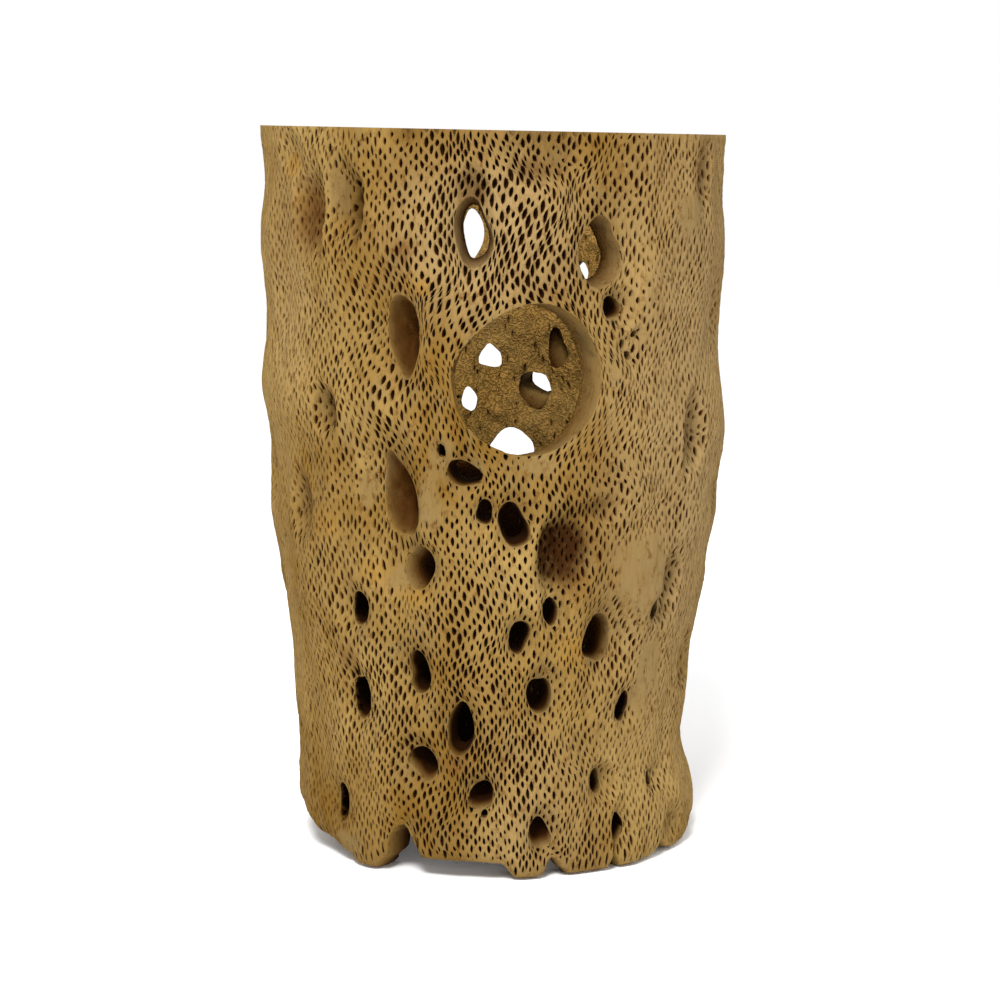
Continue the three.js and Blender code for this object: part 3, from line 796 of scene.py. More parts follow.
    def rim_places(self, kept: np.ndarray) -> tuple[np.ndarray, np.ndarray, np.ndarray]:
        """Give row, half column and mouth number of every crossing point on a rim."""
        places = [(*place, n) for n, loop in enumerate(self.loops) if kept[n] for place in loop]
        table = np.array(places)
        return table[:, 0], table[:, 1], table[:, 2]


@dataclass
class Points:
    """The points of the surface, gathered bit by bit."""

    arc: list[np.ndarray] = field(default_factory=list)
    z: list[np.ndarray] = field(default_factory=list)
    radius: list[np.ndarray] = field(default_factory=list)
    wall: list[np.ndarray] = field(default_factory=list)
    count: int = 0

    def add(self, arc: np.ndarray, z: np.ndarray, radius: np.ndarray, wall: np.ndarray | float) -> np.ndarray:
        """Add points and give their numbers.

        Args:
            arc: Arc lengths on the unrolled tube.
            z: Heights.
            radius: Distances from the axis.
            wall: How deep in painted shade they lie, 0 on the outer crests and 1 deep in a pore.

        Returns:
            A number for each point, in the shape of the arc lengths.
        """
        shape = np.shape(arc)
        for store, value in ((self.arc, arc), (self.z, z), (self.radius, radius), (self.wall, wall)):
            store.append(np.broadcast_to(value, shape).ravel().astype(float))
        numbers = np.arange(self.count, self.count + int(np.prod(shape))).reshape(shape)
        self.count += numbers.size
        return numbers

    def joined(self) -> tuple[np.ndarray, np.ndarray, np.ndarray, np.ndarray]:
        """Give arc lengths, heights, radii and painted shade of all points."""
        return tuple(np.concatenate(store) for store in (self.arc, self.z, self.radius, self.wall))


@dataclass
class Triangles:
    """The triangles of the surface, each with its place on the map, its sector and its kind."""

    corners: list[np.ndarray] = field(default_factory=list)
    across: list[np.ndarray] = field(default_factory=list)
    up: list[np.ndarray] = field(default_factory=list)
    sector: list[np.ndarray] = field(default_factory=list)
    region: list[np.ndarray] = field(default_factory=list)

    def add(
        self, numbers: np.ndarray, across: np.ndarray, up: np.ndarray, sector: np.ndarray, region: Region
    ) -> None:
        """Add triangles.

        Args:
            numbers: Three point numbers for each triangle.
            across: The half column of each corner on the map.
            up: The row or share of each corner on the map.
            sector: The sector of each triangle.
            region: The part of the map that they lie in.
        """
        self.corners.append(numbers.reshape(-1, 3))
        self.across.append(across.reshape(-1, 3))
        self.up.append(up.reshape(-1, 3))
        self.sector.append(np.broadcast_to(sector, len(self.corners[-1])))
        self.region.append(np.full(len(self.corners[-1]), list(Region).index(region)))

    def strip(
        self, first: Ring, second: Ring, sector: np.ndarray, region: Region, ring: bool = True
    ) -> None:
        """Join two rings or chains of points, row by row.

        Args:
            first: Numbers and map places of the first ring, one ring in each row.
            second: Numbers and map places of the second ring.
            sector: The sector of each row.
            region: The part of the map that they lie in.
            ring: Whether the last point joins the first.
        """
        end = first[0].shape[1] if ring else first[0].shape[1] - 1
        here = np.arange(end)
        after = (here + 1) % first[0].shape[1]
        parts = []
        for a, b in zip(first, second):
            upper = np.stack([a[:, here], a[:, after], b[:, after]], -1)
            lower = np.stack([a[:, here], b[:, after], b[:, here]], -1)
            parts.append(np.concatenate([upper, lower], 1).reshape(-1, 3))
        self.add(*parts, np.repeat(sector, 2 * end), region)

    def fan(
        self, edge: Ring, middle: Ring, sector: np.ndarray, region: Region, ring: bool = True
    ) -> None:
        """Join rings or chains of points to their middle points.

        Args:
            edge: Numbers and map places of the ring, one ring in each row.
            middle: Numbers and map places of the middle points.
            sector: The sector of each row.
            region: The part of the map that they lie in.
            ring: Whether the last point joins the first.
        """
        end = edge[0].shape[1] if ring else edge[0].shape[1] - 1
        here = np.arange(end)
        after = (here + 1) % edge[0].shape[1]
        parts = []
        for a, b in zip(edge, middle):
            centre = np.repeat(b[:, None], end, 1)
            parts.append(np.stack([a[:, here], a[:, after], centre], -1).reshape(-1, 3))
        self.add(*parts, np.repeat(sector, end), region)


@dataclass
class WallNet:
    """One face of the wall: the settled net, and the numbers of the points on it.

    Crest is how far the strands stand proud and jitter how uneven they are.
    """

    shape: TubeShape
    net: Net
    face: Face
    points: Points
    crest: float
    jitter: float
    tightest: float = 1.5
    rim_fade: float = 0.82
    rim_steps: int = 12
    steady_foot: float = 25.0
    lean_gain: float = 1.3
    rise_wave: Wave = (1.7, (8, 8, 12))
    rise_offset: float = 57.0
    rise_jitter: float = 0.8
    sway_wave: Wave = (4.4, (16, 16, 21))
    sway_offset: float = 31.0
    sway_jitter: float = 0.34
    # Below lit_from the inner face is painted darker, fading in over lit_fade: painted shade in the low
    # inside of the tube.
    lit_from: float = 126.0
    lit_fade: float = 12.0

    def __post_init__(self) -> None:
        """Settle the net on one face and place its crossing points and strand middles."""
        inside = self.face is Face.INNER
        mouths = [mouth.inner() if inside else mouth for mouth in self.net.mouths]
        self.open = np.array([not inside or mouth.depth == 0 for mouth in self.net.mouths])
        self.rims = Rims(mouths)
        self.arc, self.z = self.net.settle(self.rims, self.open)
        self.shake(45 if inside else 43)
        self.gone = (self.net.owner >= 0) & self.open[self.net.owner]
        self.wall = INNER_PAINTED_SHADE if inside else 0.0
        self.region = Region.INNER if inside else Region.OUTER
        self.random = np.random.default_rng(5 if inside else 3)
        self.crossing = self.place(self.arc, self.z, self.wall, self.crest, True)
        self.middle = {side: self.strand_middles(side) for side in (1, -1)}

    def shake(self, seed: int) -> None:
        """Make the settled net uneven, away from the rims and both ends.

        Args:
            seed: What the small moves are drawn from.
        """
        rows, halves, _ = self.net.rim_places(self.open)
        random = np.random.default_rng(seed)
        point = self.shape.space(turn_of(self.arc), self.z, self.shape.outer_noise_radius)
        height, grain = self.rise_wave
        rise = height * self.shape.noise.at(point + self.rise_offset, grain)
        rise += random.uniform(-self.rise_jitter, self.rise_jitter, self.z.shape)
        near_rim = np.zeros_like(self.arc)
        near_rim[rows, halves] = 1
        for _ in range(self.rim_steps):
            aside = np.maximum(np.roll(near_rim, 1, 1), np.roll(near_rim, -1, 1)) * self.rim_fade
            near_rim = np.maximum(near_rim, aside)
            near_rim[1:] = np.maximum(near_rim[1:], near_rim[:-1] * self.rim_fade)
            near_rim[:-1] = np.maximum(near_rim[:-1], near_rim[1:] * self.rim_fade)
        loose = 1 - near_rim
        flow = self.flow(point) * loose
        loose[[0, -1]] = 0
        self.arc = self.arc + flow + random.uniform(-self.sway_jitter, self.sway_jitter, loose.shape) * loose
        self.z = self.z + rise * loose

    def flow(self, point: np.ndarray) -> np.ndarray:
        """Tell how far the lean of the strands carries them sideways, at points in space."""
        turn = near_turn(turn_of(self.arc))
        height, grain = self.sway_wave
        sideways = height * self.shape.noise.at(point + self.sway_offset, grain)
        for area in FLOW:
            share = self.shape.inside(area, turn, self.z, self.shape.hollow_reach)
            sideways += self.lean_gain * area.amount * (self.z - area.z) * share
        return sideways * smooth(self.z / self.steady_foot)

    def tangled(self) -> np.ndarray:
        """Tell which cells are so tight that a pore in them would cross itself."""
        right, left = np.roll(self.arc, -1, 1)[1:-1], np.roll(self.arc, 1, 1)[1:-1]
        across, rise = wrap_arc(right - left), np.roll(self.z, -1, 1)[1:-1] - np.roll(self.z, 1, 1)[1:-1]
        lean, up = wrap_arc(self.arc[2:] - self.arc[:-2]), self.z[2:] - self.z[:-2]
        tight = np.zeros(self.arc.shape, bool)
        tight[1:-1] = (across * up - rise * lean) / 2 < self.tightest
        return tight

    def radius(self, arc: np.ndarray, z: np.ndarray) -> np.ndarray:
        """Give the radius of this face."""
        at = self.shape.inner_radius if self.face is Face.INNER else self.shape.outer_radius
        return at(turn_of(arc), z)

    def place(
        self, arc: np.ndarray, z: np.ndarray, wall: float, proud: float, crest: bool = False
    ) -> np.ndarray:
        """Add points of this face; the top line lies in the sawn plane.

        Args:
            arc: Arc lengths.
            z: Heights.
            wall: How deep in painted shade the points lie.
            proud: How far the points stand proud of the face, into the open.
            crest: Whether the points form whole rows of the grid.

        Returns:
            The points' numbers.
        """
        outward = -1 if self.face is Face.INNER else 1
        radius = self.radius(arc, z) + outward * proud
        radius = radius + self.jitter * self.random.uniform(-1, 1, np.shape(arc))
        # Painted shade: the inner face grows darker below lit_from.
        if self.face is Face.INNER:
            wall = np.maximum(wall, smooth((self.lit_from - z) / self.lit_fade))
        if crest:
            z = np.array(z)
            z[-1] = self.shape.sawn_height(turn_of(arc[-1]), radius[-1])
        return self.points.add(arc, z, radius, wall)

    def strand_middles(self, side: int) -> np.ndarray:
        """Add the middles of the strands that rise to one side, and give their numbers.

        Args:
            side: 1 for the right, -1 for the left.

        Returns:
            The number of each middle, by its lower end.
        """
        arc = self.arc[:-1] + wrap_arc(np.roll(self.arc, -side, 1)[1:] - self.arc[:-1]) / 2
        z = (self.z[:-1] + np.roll(self.z, -side, 1)[1:]) / 2
        spots, owners = [], []
        for number, loop in enumerate(self.net.loops):
            if self.open[number]:
                for start, end in zip(loop, loop[1:] + loop[:1]):
                    low, high = (start, end) if start[0] < end[0] else (end, start)
                    if (high[1] - low[1]) % self.net.half == side % self.net.half:
                        spots.append(low)
                        owners.append(number)
        rows, halves = np.array(spots).T
        owner = np.array(owners)
        arc[rows, halves], z[rows, halves] = self.rims.snap(owner, arc[rows, halves], z[rows, halves])
        return self.place(arc, z, self.wall, self.crest)

    def facing(self, ring: Ring) -> Ring:
        """Turn rings of the inner face over, so that their triangles face the open."""
        return tuple(part[:, ::-1] for part in ring) if self.face is Face.INNER else ring

    def ring(self, rows: np.ndarray, halves: np.ndarray) -> Ring:
        """Give the eight points round cells, from the right one on, and their map places."""
        right, left = (halves + 1) % self.net.half, (halves - 1) % self.net.half
        numbers = np.stack([
            self.crossing[rows, right], self.middle[-1][rows, right], self.crossing[rows + 1, halves],
            self.middle[1][rows, left], self.crossing[rows, left], self.middle[-1][rows - 1, halves],
            self.crossing[rows - 1, halves], self.middle[1][rows - 1, halves],
        ], 1)
        across = halves[:, None] + np.array([1, 0.5, 0, -0.5, -1, -0.5, 0, 0.5])
        up = rows[:, None] + np.array([0, 0.5, 1, 0.5, 0, -0.5, -1, -0.5])
        return numbers, across.astype(float), up.astype(float)

    def end_chain(self, row: int, halves: np.ndarray) -> Ring:
        """Give the five points round half cells at the foot or the top, and their map places.

        Args:
            row: The foot's or the top's row.
            halves: Half columns of the half cells.

        Returns:
            Numbers and map places, one chain in each row.
        """
        right, left = (halves + 1) % self.net.half, (halves - 1) % self.net.half
        side, rise = np.array([1, 0.5, 0, -0.5, -1]), np.array([0, 0.5, 1, 0.5, 0])
        if row == 0:
            numbers = [
                self.crossing[0, right], self.middle[-1][0, right], self.crossing[1, halves],
                self.middle[1][0, left], self.crossing[0, left],
            ]
        else:
            side, rise = -side, -rise
            numbers = [
                self.crossing[row, left], self.middle[-1][row - 1, halves], self.crossing[row - 1, halves],
                self.middle[1][row - 1, halves], self.crossing[row, right],
            ]
        across = (halves[:, None] + side).astype(float)
        return np.stack(numbers, 1), across, row + np.broadcast_to(rise, across.shape)


@dataclass(frozen=True)
class PoreForm:
    """The form of the slit pores.

    Width and height are shares of the cell: that of a closed pore, what openness adds and the
    most that it may be. The points between tips and sides bulge. A pore narrows to a ledge just
    below its rim and then runs to a blind end.
    """

    wide: Triple = (0.21, 0.2, 0.54)
    tall: Triple = (0.3, 0.42, 0.86)
    full_width_from: float = 0.35
    bulge: Pair = (1.4, 1.25)
    slip_from: float = 0.9
    most_slip: float = 0.35
    ripple: float = 0.08
    sink: float = 0.6
    sink_from: float = 0.7
    most_sunk: float = 0.8
    inner_rise: float = -0.3
    rim_shade: float = 0.05
    inner_rim_shade: float = 0.1
    depth: float = 3.0
    inner_depth: float = 1.8
    uneven_depth: Pair = (0.75, 1.2)
    ledge: float = 0.4
    ledge_share: float = 0.6
    ledge_size: Pair = (0.8, 0.85)
    shade: float = 1.0
    inner_shade: float = 0.6
    map_sizes: Pair = (0.6, 0.25)

    def size(self, openness: np.ndarray) -> tuple[np.ndarray, np.ndarray]:
        """Give the width and the height of pores as shares of their cells."""
        wide, tall = (
            np.clip(start + gain * openness, 0, most) for start, gain, most in (self.wide, self.tall)
        )
        return wide * smooth(openness / self.full_width_from), tall


@dataclass(frozen=True)
class TunnelForm:
    """How the tunnels are lined: where the rings lie and how rough they are."""

    rings: tuple[float, ...] = (0.03, 0.09, 0.2, 0.36, 0.54, 0.72, 0.88, 0.97)
    rough: float = 0.5
    fully_rough_width: float = 9.0
    grain: Triple = (3, 3, 2.2)
    least_reach: float = 0.5
    map_shrink: float = 0.8


@dataclass(frozen=True)
class BowlForm:
    """How the blind pits are closed: rings towards the middle, their roughness and shade."""

    rings: tuple[float, ...] = (0.97, 0.91, 0.83, 0.74, 0.64, 0.53, 0.41, 0.28, 0.14)
    aside: float = 0.2
    noise_radius: float = 66.0
    rough: Wave = (1.4, (2.2, 2.2, 5))
    streaks: Wave = (0.13, (0.9, 0.9, 2.5))
    streak_offset: float = 9.0
    wall_power: float = 3
    rough_power: float = 8
    shade: float = 0.77
    deep_shade: float = 0.12
    deep_power: float = 1.6
    side_shade: float = 0.32
    side_limits: Pair = (-0.4, 0.6)
    rim_power: float = 14
    shade_limits: Pair = (0.1, 0.95)
    floor_shade: float = 0.8
    map_middle: float = 0.1


@dataclass
class Skeleton:
    """The whole skeleton: net faces, pores, tunnels, pits, sawn top and worn foot."""

    shape: TubeShape
    net: Net
    pore: PoreForm = PoreForm()
    tunnels: TunnelForm = TunnelForm()
    bowls: BowlForm = BowlForm()
    sectors: int = 6
    least_open: float = 0.1
    crests: Pair = (0.3, 0.25)
    jitters: Pair = (0.07, 0.34)
    uneven_pores: Pair = (0.35, 1.5)
    closed_dip: float = 0.12
    skipped_share: float = 0.004
    pit_share: float = 0.13
    slot_share: float = 0.3
    slot_places: tuple[float, ...] = (0.0, 0.6, 1.0, 1.4, 2.0)
    least_wood: float = 1.6
    foot_rings: tuple[float, ...] = (0.08, 0.24, 0.5, 0.76, 0.92)
    lip_slack: float = 0.15
    lip_power: float = 0.6
    lowest: float = 0.02
    sliver: Triple = (0.0, 0.004, 0.002)

    def __post_init__(self) -> None:
        """Settle both faces and share the cells out between the sectors."""
        self.points, self.triangles = Points(), Triangles()
        self.outer, self.inner = (
            WallNet(self.shape, self.net, face, self.points, crest, jitter)
            for face, crest, jitter in zip(Face, self.crests, self.jitters)
        )
        self.label = self.share_out()
        rows, halves = np.nonzero(self.net.is_cell)
        whole = (rows > 0) & (rows < self.net.rows)
        self.rows, self.halves = rows[whole], halves[whole]
        skipped = np.random.default_rng(17).random(self.net.is_cell.shape) < self.skipped_share
        arc, z = self.cell_middles(self.outer)
        uneven = np.random.default_rng(23).uniform(*self.uneven_pores, skipped.shape)
        self.open = np.where(skipped, 0, self.shape.openness(turn_of(arc), z) * uneven)
        self.open[self.outer.gone | self.outer.tangled()] = 0

    def share_out(self) -> np.ndarray:
        """Give every cell its sector; the cells round a mouth, and mouths that touch, stay in one."""
        net = self.net
        label = np.tile(np.arange(net.half) * self.sectors // net.half, (net.rows + 1, 1))
        touched: dict[tuple[int, int], int] = {}
        group = list(range(len(net.mouths)))

        def head(number: int) -> int:
            """Give the first mouth of a group."""
            while group[number] != number:
                number = group[number]
            return number

        members: list[set[tuple[int, int]]] = []
        for number, loop in enumerate(net.loops):
            cells = {tuple(int(v) for v in place) for place in np.argwhere(net.owner == number)}
            cells |= {cell for place in loop for cell in net.beside(*place)}
            members.append(cells)
            for cell in cells:
                if cell in touched:
                    group[head(number)] = head(touched[cell])
                touched[cell] = number
        for number, cells in enumerate(members):
            first = head(number)
            sector = int((net.mouths[first].turn % 360) * self.sectors // 360)
            for cell in cells:
                label[cell] = sector
        return label

    def cell_middles(self, face: WallNet) -> tuple[np.ndarray, np.ndarray]:
        """Give the middles of all cells on one face, as whole grids."""
        left, right = np.roll(face.arc, 1, 1), np.roll(face.arc, -1, 1)
        arc = left + wrap_arc(right - left) / 2
        z = (np.roll(face.z, 1, 1) + np.roll(face.z, -1, 1)) / 2
        upright = wrap_arc(face.arc[2:] - face.arc[:-2]) / 2 + face.arc[:-2]
        arc[1:-1] += wrap_arc(upright - arc[1:-1]) / 2
        z[1:-1] = (z[1:-1] + (face.z[2:] + face.z[:-2]) / 2) / 2
        return arc, z

    def pore_ring(
        self, face: WallNet, numbers: np.ndarray, rows: np.ndarray, halves: np.ndarray, tips: tuple[int, ...]
    ) -> np.ndarray:
        """Add the lens-shaped rims of pores, inside the rings round their cells.

        Args:
            face: The face they are in.
            numbers: The point numbers round each cell.
            rows: Rows of the cells.
            halves: Half columns of the cells.
            tips: Which points of a ring lie above or below the middle.

        Returns:
            The numbers of the rims' points.
        """
        form = self.pore
        arcs, heights, _, _ = self.points.joined()
        middle_arc, middle_z = (grid[rows, halves][:, None] for grid in self.cell_middles(face))
        openness = self.open[rows, halves][:, None]
        wide, tall = form.size(openness)
        places = np.arange(numbers.shape[1])
        is_tip = np.isin(places, tips)
        is_side = (places - tips[0]) % 2 == 0
        share_over = np.where(is_tip, tall, np.where(is_side, wide, form.bulge[0] * wide))
        share_rise = np.where(is_tip, tall, np.where(is_side, wide, form.bulge[1] * tall))
        over = wrap_arc(arcs[numbers] - middle_arc) * share_over
        rise = (heights[numbers] - middle_z) * share_rise
        if len(tips) == 2:
            reach = (heights[numbers[:, tips[0]]] - heights[numbers[:, tips[1]]])[:, None] / 2
            slip = np.clip(form.slip_from - tall, 0, form.most_slip)
            rise = rise + face.random.uniform(-1, 1, (len(rows), 1)) * slip * reach
        ripple = 1 + form.ripple * face.random.uniform(-1, 1, over.shape)
        if face.face is Face.OUTER:
            proud = face.crest - form.sink * np.clip(openness - form.sink_from, 0, form.most_sunk)
            shade = form.rim_shade
        else:
            proud, shade = form.inner_rise, face.wall + form.inner_rim_shade
        return face.place(middle_arc + over * ripple, middle_z + rise, shade, proud)

    def cover_faces(self) -> None:
        """Cover both faces: pores sink into the wall from both, and the other cells are closed."""
        rows, halves = self.rows, self.halves
        pitted = np.random.default_rng(31).random(len(rows)) < self.pit_share
        pitted &= ~self.inner.tangled()[rows, halves]
        for face, porous in ((self.outer, self.open[rows, halves] > self.least_open), (self.inner, pitted)):
            kept = ~face.gone[rows, halves]
            self.close_cells(face, rows[kept & ~porous], halves[kept & ~porous])
            self.sink_pores(face, rows[kept & porous], halves[kept & porous])

    def close_cells(self, face: WallNet, rows: np.ndarray, halves: np.ndarray) -> None:
        """Close cells with a faint dip in the middle.

        Args:
            face: The face they are in.
            rows: Rows of the cells.
            halves: Half columns of the cells.
        """
        ring = face.facing(face.ring(rows, halves))
        arc, z = (grid[rows, halves] for grid in self.cell_middles(face))
        middle = face.place(arc, z, face.wall, face.crest - self.closed_dip)
        self.triangles.fan(ring, (middle, halves, rows), self.label[rows, halves], face.region)

    def shrunk(
        self, numbers: np.ndarray, ring: Ring, rows: np.ndarray, halves: np.ndarray, share: float
    ) -> Ring:
        """Give points the map places of rings, drawn in towards the cells' middles."""
        across, up = halves[:, None], rows[:, None]
        return numbers, across + (ring[1] - across) * share, up + (ring[2] - up) * share

    def sink_pores(self, face: WallNet, rows: np.ndarray, halves: np.ndarray) -> None:
        """Make pores that narrow to a blind end inside the wall.

        Args:
            face: The face they are in.
            rows: Rows of the cells.
            halves: Half columns of the cells.
        """
        form, outside = self.pore, face.face is Face.OUTER
        sector = self.label[rows, halves]
        ring = face.ring(rows, halves)
        rim = self.pore_ring(face, ring[0], rows, halves, (2, 6))
        arcs, heights, _, _ = self.points.joined()
        middle_arc, middle_z = (grid[rows, halves] for grid in self.cell_middles(face))
        depth, shade = (form.depth, form.shade) if outside else (form.inner_depth, form.inner_shade)
        deeper = depth * face.random.uniform(*form.uneven_depth, len(rows))
        low_arc = middle_arc[:, None] + wrap_arc(arcs[rim] - middle_arc[:, None]) * form.ledge_size[0]
        low_z = middle_z[:, None] + (heights[rim] - middle_z[:, None]) * form.ledge_size[1]
        inward = -1 if outside else 1
        surface = face.radius(middle_arc, middle_z)
        radius = self.within_wall(face, middle_arc, middle_z, surface + inward * deeper)
        ledge = surface + inward * np.minimum(form.ledge, np.abs(surface - radius) * form.ledge_share)
        low = self.points.add(low_arc, low_z, ledge[:, None], shade)
        end = self.points.add(middle_arc, middle_z, radius, shade)
        levels = [ring]
        for numbers, size in zip((rim, low), form.map_sizes):
            levels.append(self.shrunk(numbers, ring, rows, halves, size))
        levels = [face.facing(level) for level in levels]
        self.triangles.strip(levels[0], levels[1], sector, face.region)
        self.triangles.strip(levels[1], levels[2], sector, face.region)
        self.triangles.fan(levels[2], (end, halves, rows), sector, face.region)

    def within_wall(self, face: WallNet, arc: np.ndarray, z: np.ndarray, radius: np.ndarray) -> np.ndarray:
        """Keep the ends of pores and pits clear of the wall's other face.

        Args:
            face: The face that they start from.
            arc: Arc lengths of the ends.
            z: Heights of the ends.
            radius: Radii of the ends.

        Returns:
            Radii that leave the least wood behind them.
        """
        if face.face is Face.OUTER:
            return np.maximum(radius, self.shape.inner_radius(turn_of(arc), z) + self.least_wood)
        least = self.least_wood + self.pore.depth / 2
        return np.minimum(radius, self.shape.outer_radius(turn_of(arc), z) - least)

    def line_mouths(self) -> None:
        """Line every tunnel through the wall, and close every blind pit with a bowl."""
        for number, mouth in enumerate(self.net.mouths):
            loop = self.net.loops[number]
            rim = (self.loop_ring(self.outer, loop), *self.loop_map(loop))
            sector = np.array([self.label[tuple(np.argwhere(self.net.owner == number)[0])]])
            if mouth.depth:
                self.bowl(mouth, rim, sector)
            else:
                self.tunnel(mouth, rim, self.loop_ring(self.inner, loop), sector)

    def loop_ring(self, face: WallNet, loop: list[tuple[int, int]]) -> np.ndarray:
        """Give the point numbers along a loop, with the strand middles, as one row.

        Args:
            face: The face it lies in.
            loop: The crossing points of the loop.

        Returns:
            The point numbers.
        """
        numbers = []
        for start, end in zip(loop, loop[1:] + loop[:1]):
            low, high = (start, end) if start[0] < end[0] else (end, start)
            side = 1 if (high[1] - low[1]) % self.net.half == 1 else -1
            numbers += [face.crossing[start], face.middle[side][low]]
        return np.array([numbers])

    def loop_map(self, loop: list[tuple[int, int]]) -> tuple[np.ndarray, np.ndarray]:
        """Give the map places along a loop, with the strand middles, as one row each."""
        table = np.array(loop, float)
        half = self.net.half
        across = table[0, 1] + (table[:, 1] - table[0, 1] + half / 2) % half - half / 2
        lines = (across, table[:, 0])
        return tuple(np.stack([line, (line + np.roll(line, -1)) / 2], 1).reshape(1, -1) for line in lines)

    def drawn_in(self, numbers: np.ndarray, rim: Ring, share: float) -> Ring:
        """Give points the map places of a rim, drawn in towards its middle."""
        across, up = (part.mean() + (part - part.mean()) * share for part in rim[1:])
        return numbers, across, up

    def tunnel(self, mouth: Mouth, rim: Ring, inner: np.ndarray, sector: np.ndarray) -> None:
        """Line one tunnel with rings from its outer to its inner mouth.

        Args:
            mouth: The tunnel.
            rim: The ring round its outer mouth.
            inner: Point numbers round its inner mouth.
            sector: The sector it belongs to.
        """
        form, outer, last = self.tunnels, rim[0], rim
        arcs, heights, radii, _ = self.points.joined()
        over = wrap_arc(arcs[inner] - arcs[outer])
        rough = form.rough * min(1, mouth.wide / form.fully_rough_width)
        for share in form.rings:
            arc = arcs[outer] + over * share
            z = heights[outer] + (heights[inner] - heights[outer]) * share
            radius = radii[outer] + (radii[inner] - radii[outer]) * share
            point = self.shape.space(turn_of(arc), z, 1.0) * radius[..., None]
            point[..., 2] = z
            grain = rough * math.sin(math.pi * share) * self.shape.noise.at(point, form.grain)
            away_arc, away_z = wrap_arc(arc - arc_of(near_turn(mouth.turn))), z - mouth.z
            grain = grain / np.maximum(np.hypot(away_arc, away_z), form.least_reach)
            # Painted shade inside the tunnel, growing with depth.
            shade = min(1.0, share * mouth.painted_shade_gain)
            numbers = self.points.add(arc + away_arc * grain, z + away_z * grain, radius, shade)
            following = self.drawn_in(numbers, rim, 1 - form.map_shrink * share)
            self.triangles.strip(last, following, sector, Region.OUTER)
            last = following
        self.triangles.strip(last, self.drawn_in(inner, rim, 1 - form.map_shrink), sector, Region.OUTER)

    def bowl(self, mouth: Mouth, rim: Ring, sector: np.ndarray) -> None:
        """Close one blind pit with a rough bowl.

        Args:
            mouth: The pit.
            rim: The ring round its mouth.
            sector: The sector it belongs to.
        """
        form, edge, last = self.bowls, rim[0], rim
        arcs, heights, radii, _ = self.points.joined()
        middle_arc = arc_of(near_turn(mouth.turn)) - math.copysign(form.aside * mouth.wide, mouth.turn)
        deepest = self.shape.inner_radius(np.array([mouth.turn]), np.array([mouth.z]))[0] + self.least_wood
        floor = max(radii[edge].mean() - mouth.depth, deepest)
        for share in form.rings:
            arc = middle_arc + wrap_arc(arcs[edge] - middle_arc) * share
            z = mouth.z + (heights[edge] - mouth.z) * share
            point = self.shape.space(turn_of(arc), z, form.noise_radius)
            rough = form.rough[0] * self.shape.noise.at(point, form.rough[1]) * (1 - share**form.rough_power)
            high = share**form.wall_power
            radius = self.within_wall(self.outer, arc, z, radii[edge] * high + floor * (1 - high) + rough)
            aside = np.clip(wrap_arc(arc - middle_arc) / mouth.wide, *form.side_limits)
            streaks = form.streaks[0] * self.shape.noise.at(point + form.streak_offset, form.streaks[1])
            shade = form.shade + form.deep_shade * (1 - share**form.deep_power)
            shade = (shade + form.side_shade * aside + streaks) * (1 - share**form.rim_power)
            numbers = self.points.add(arc, z, radius, np.clip(shade, *form.shade_limits))
            following = self.drawn_in(numbers, rim, form.map_middle + (1 - form.map_middle) * share)
            self.triangles.strip(last, following, sector, Region.OUTER)
            last = following
        end = self.points.add(np.array([middle_arc]), np.array([mouth.z]), floor, form.floor_shade)
        middle = tuple(np.array([part.mean()]) for part in rim[1:])
        self.triangles.fan(last, (end, *middle), sector, Region.OUTER)

    def saw_top(self) -> None:
        """Cut the top row of cells open along the sawn plane, and cover the plane."""
        row = self.net.rows
        halves = np.nonzero(self.net.is_cell[row])[0]
        rows = np.full(len(halves), row)
        sector = self.label[row, halves]
        slotted = self.open[row, halves] > self.least_open
        slotted &= np.random.default_rng(37).random(len(halves)) < self.slot_share
        chains, rims, lines = [], [], []
        for face in (self.outer, self.inner):
            chain = face.end_chain(row, halves)
            arc = face.arc[row, halves]
            radius = face.radius(arc, np.full(len(halves), self.shape.top_height))
            height = self.shape.sawn_height(turn_of(arc), radius)
            middle = self.points.add(arc, height, radius, face.wall)
            rim = self.pore_ring(face, chain[0], rows, halves, (2,))
            self.level_ends(rim)
            shut = face.facing(tuple(part[~slotted] for part in chain))
            middles = tuple(part[~slotted] for part in (middle, halves, rows))
            self.triangles.fan(shut, middles, sector[~slotted], face.region, ring=False)
            chains.append(tuple(part[slotted] for part in chain))
            rims.append(rim[slotted])
            lines.append((chain[0][:, 0], rim[:, 0], middle, rim[:, 4], chain[0][:, 4]))
        middles = (rows[slotted], halves[slotted])
        wide_size, deep_size = self.pore.map_sizes
        wide = self.shrunk(rims[0], chains[0], *middles, wide_size)
        deep = self.shrunk(rims[1], chains[0], *middles, deep_size)
        levels = ((chains[0], wide, Region.OUTER), (wide, deep, Region.OUTER),
                  ((rims[1], *wide[1:]), chains[1], Region.INNER))
        for first, second, region in levels:
            self.triangles.strip(first, second, sector[slotted], region, ring=False)
        for pick, start, end in ((slotted, 0, 1), (slotted, 3, 4), (~slotted, 0, 2), (~slotted, 2, 4)):
            outer, inner = ((line[start][pick], line[end][pick]) for line in lines)
            across = tuple(halves[pick] - 1 + self.slot_places[place] for place in (start, end))
            self.plank(outer, inner, across, sector[pick], Region.TOP)

    def level_ends(self, rim: np.ndarray) -> None:
        """Bring the two ends of open pore rims into the sawn plane."""
        arcs, heights, radii, _ = self.points.joined()
        ends = rim[:, [0, 4]]
        heights[ends] = self.shape.sawn_height(turn_of(arcs[ends]), radii[ends])
        self.points.z = [heights]

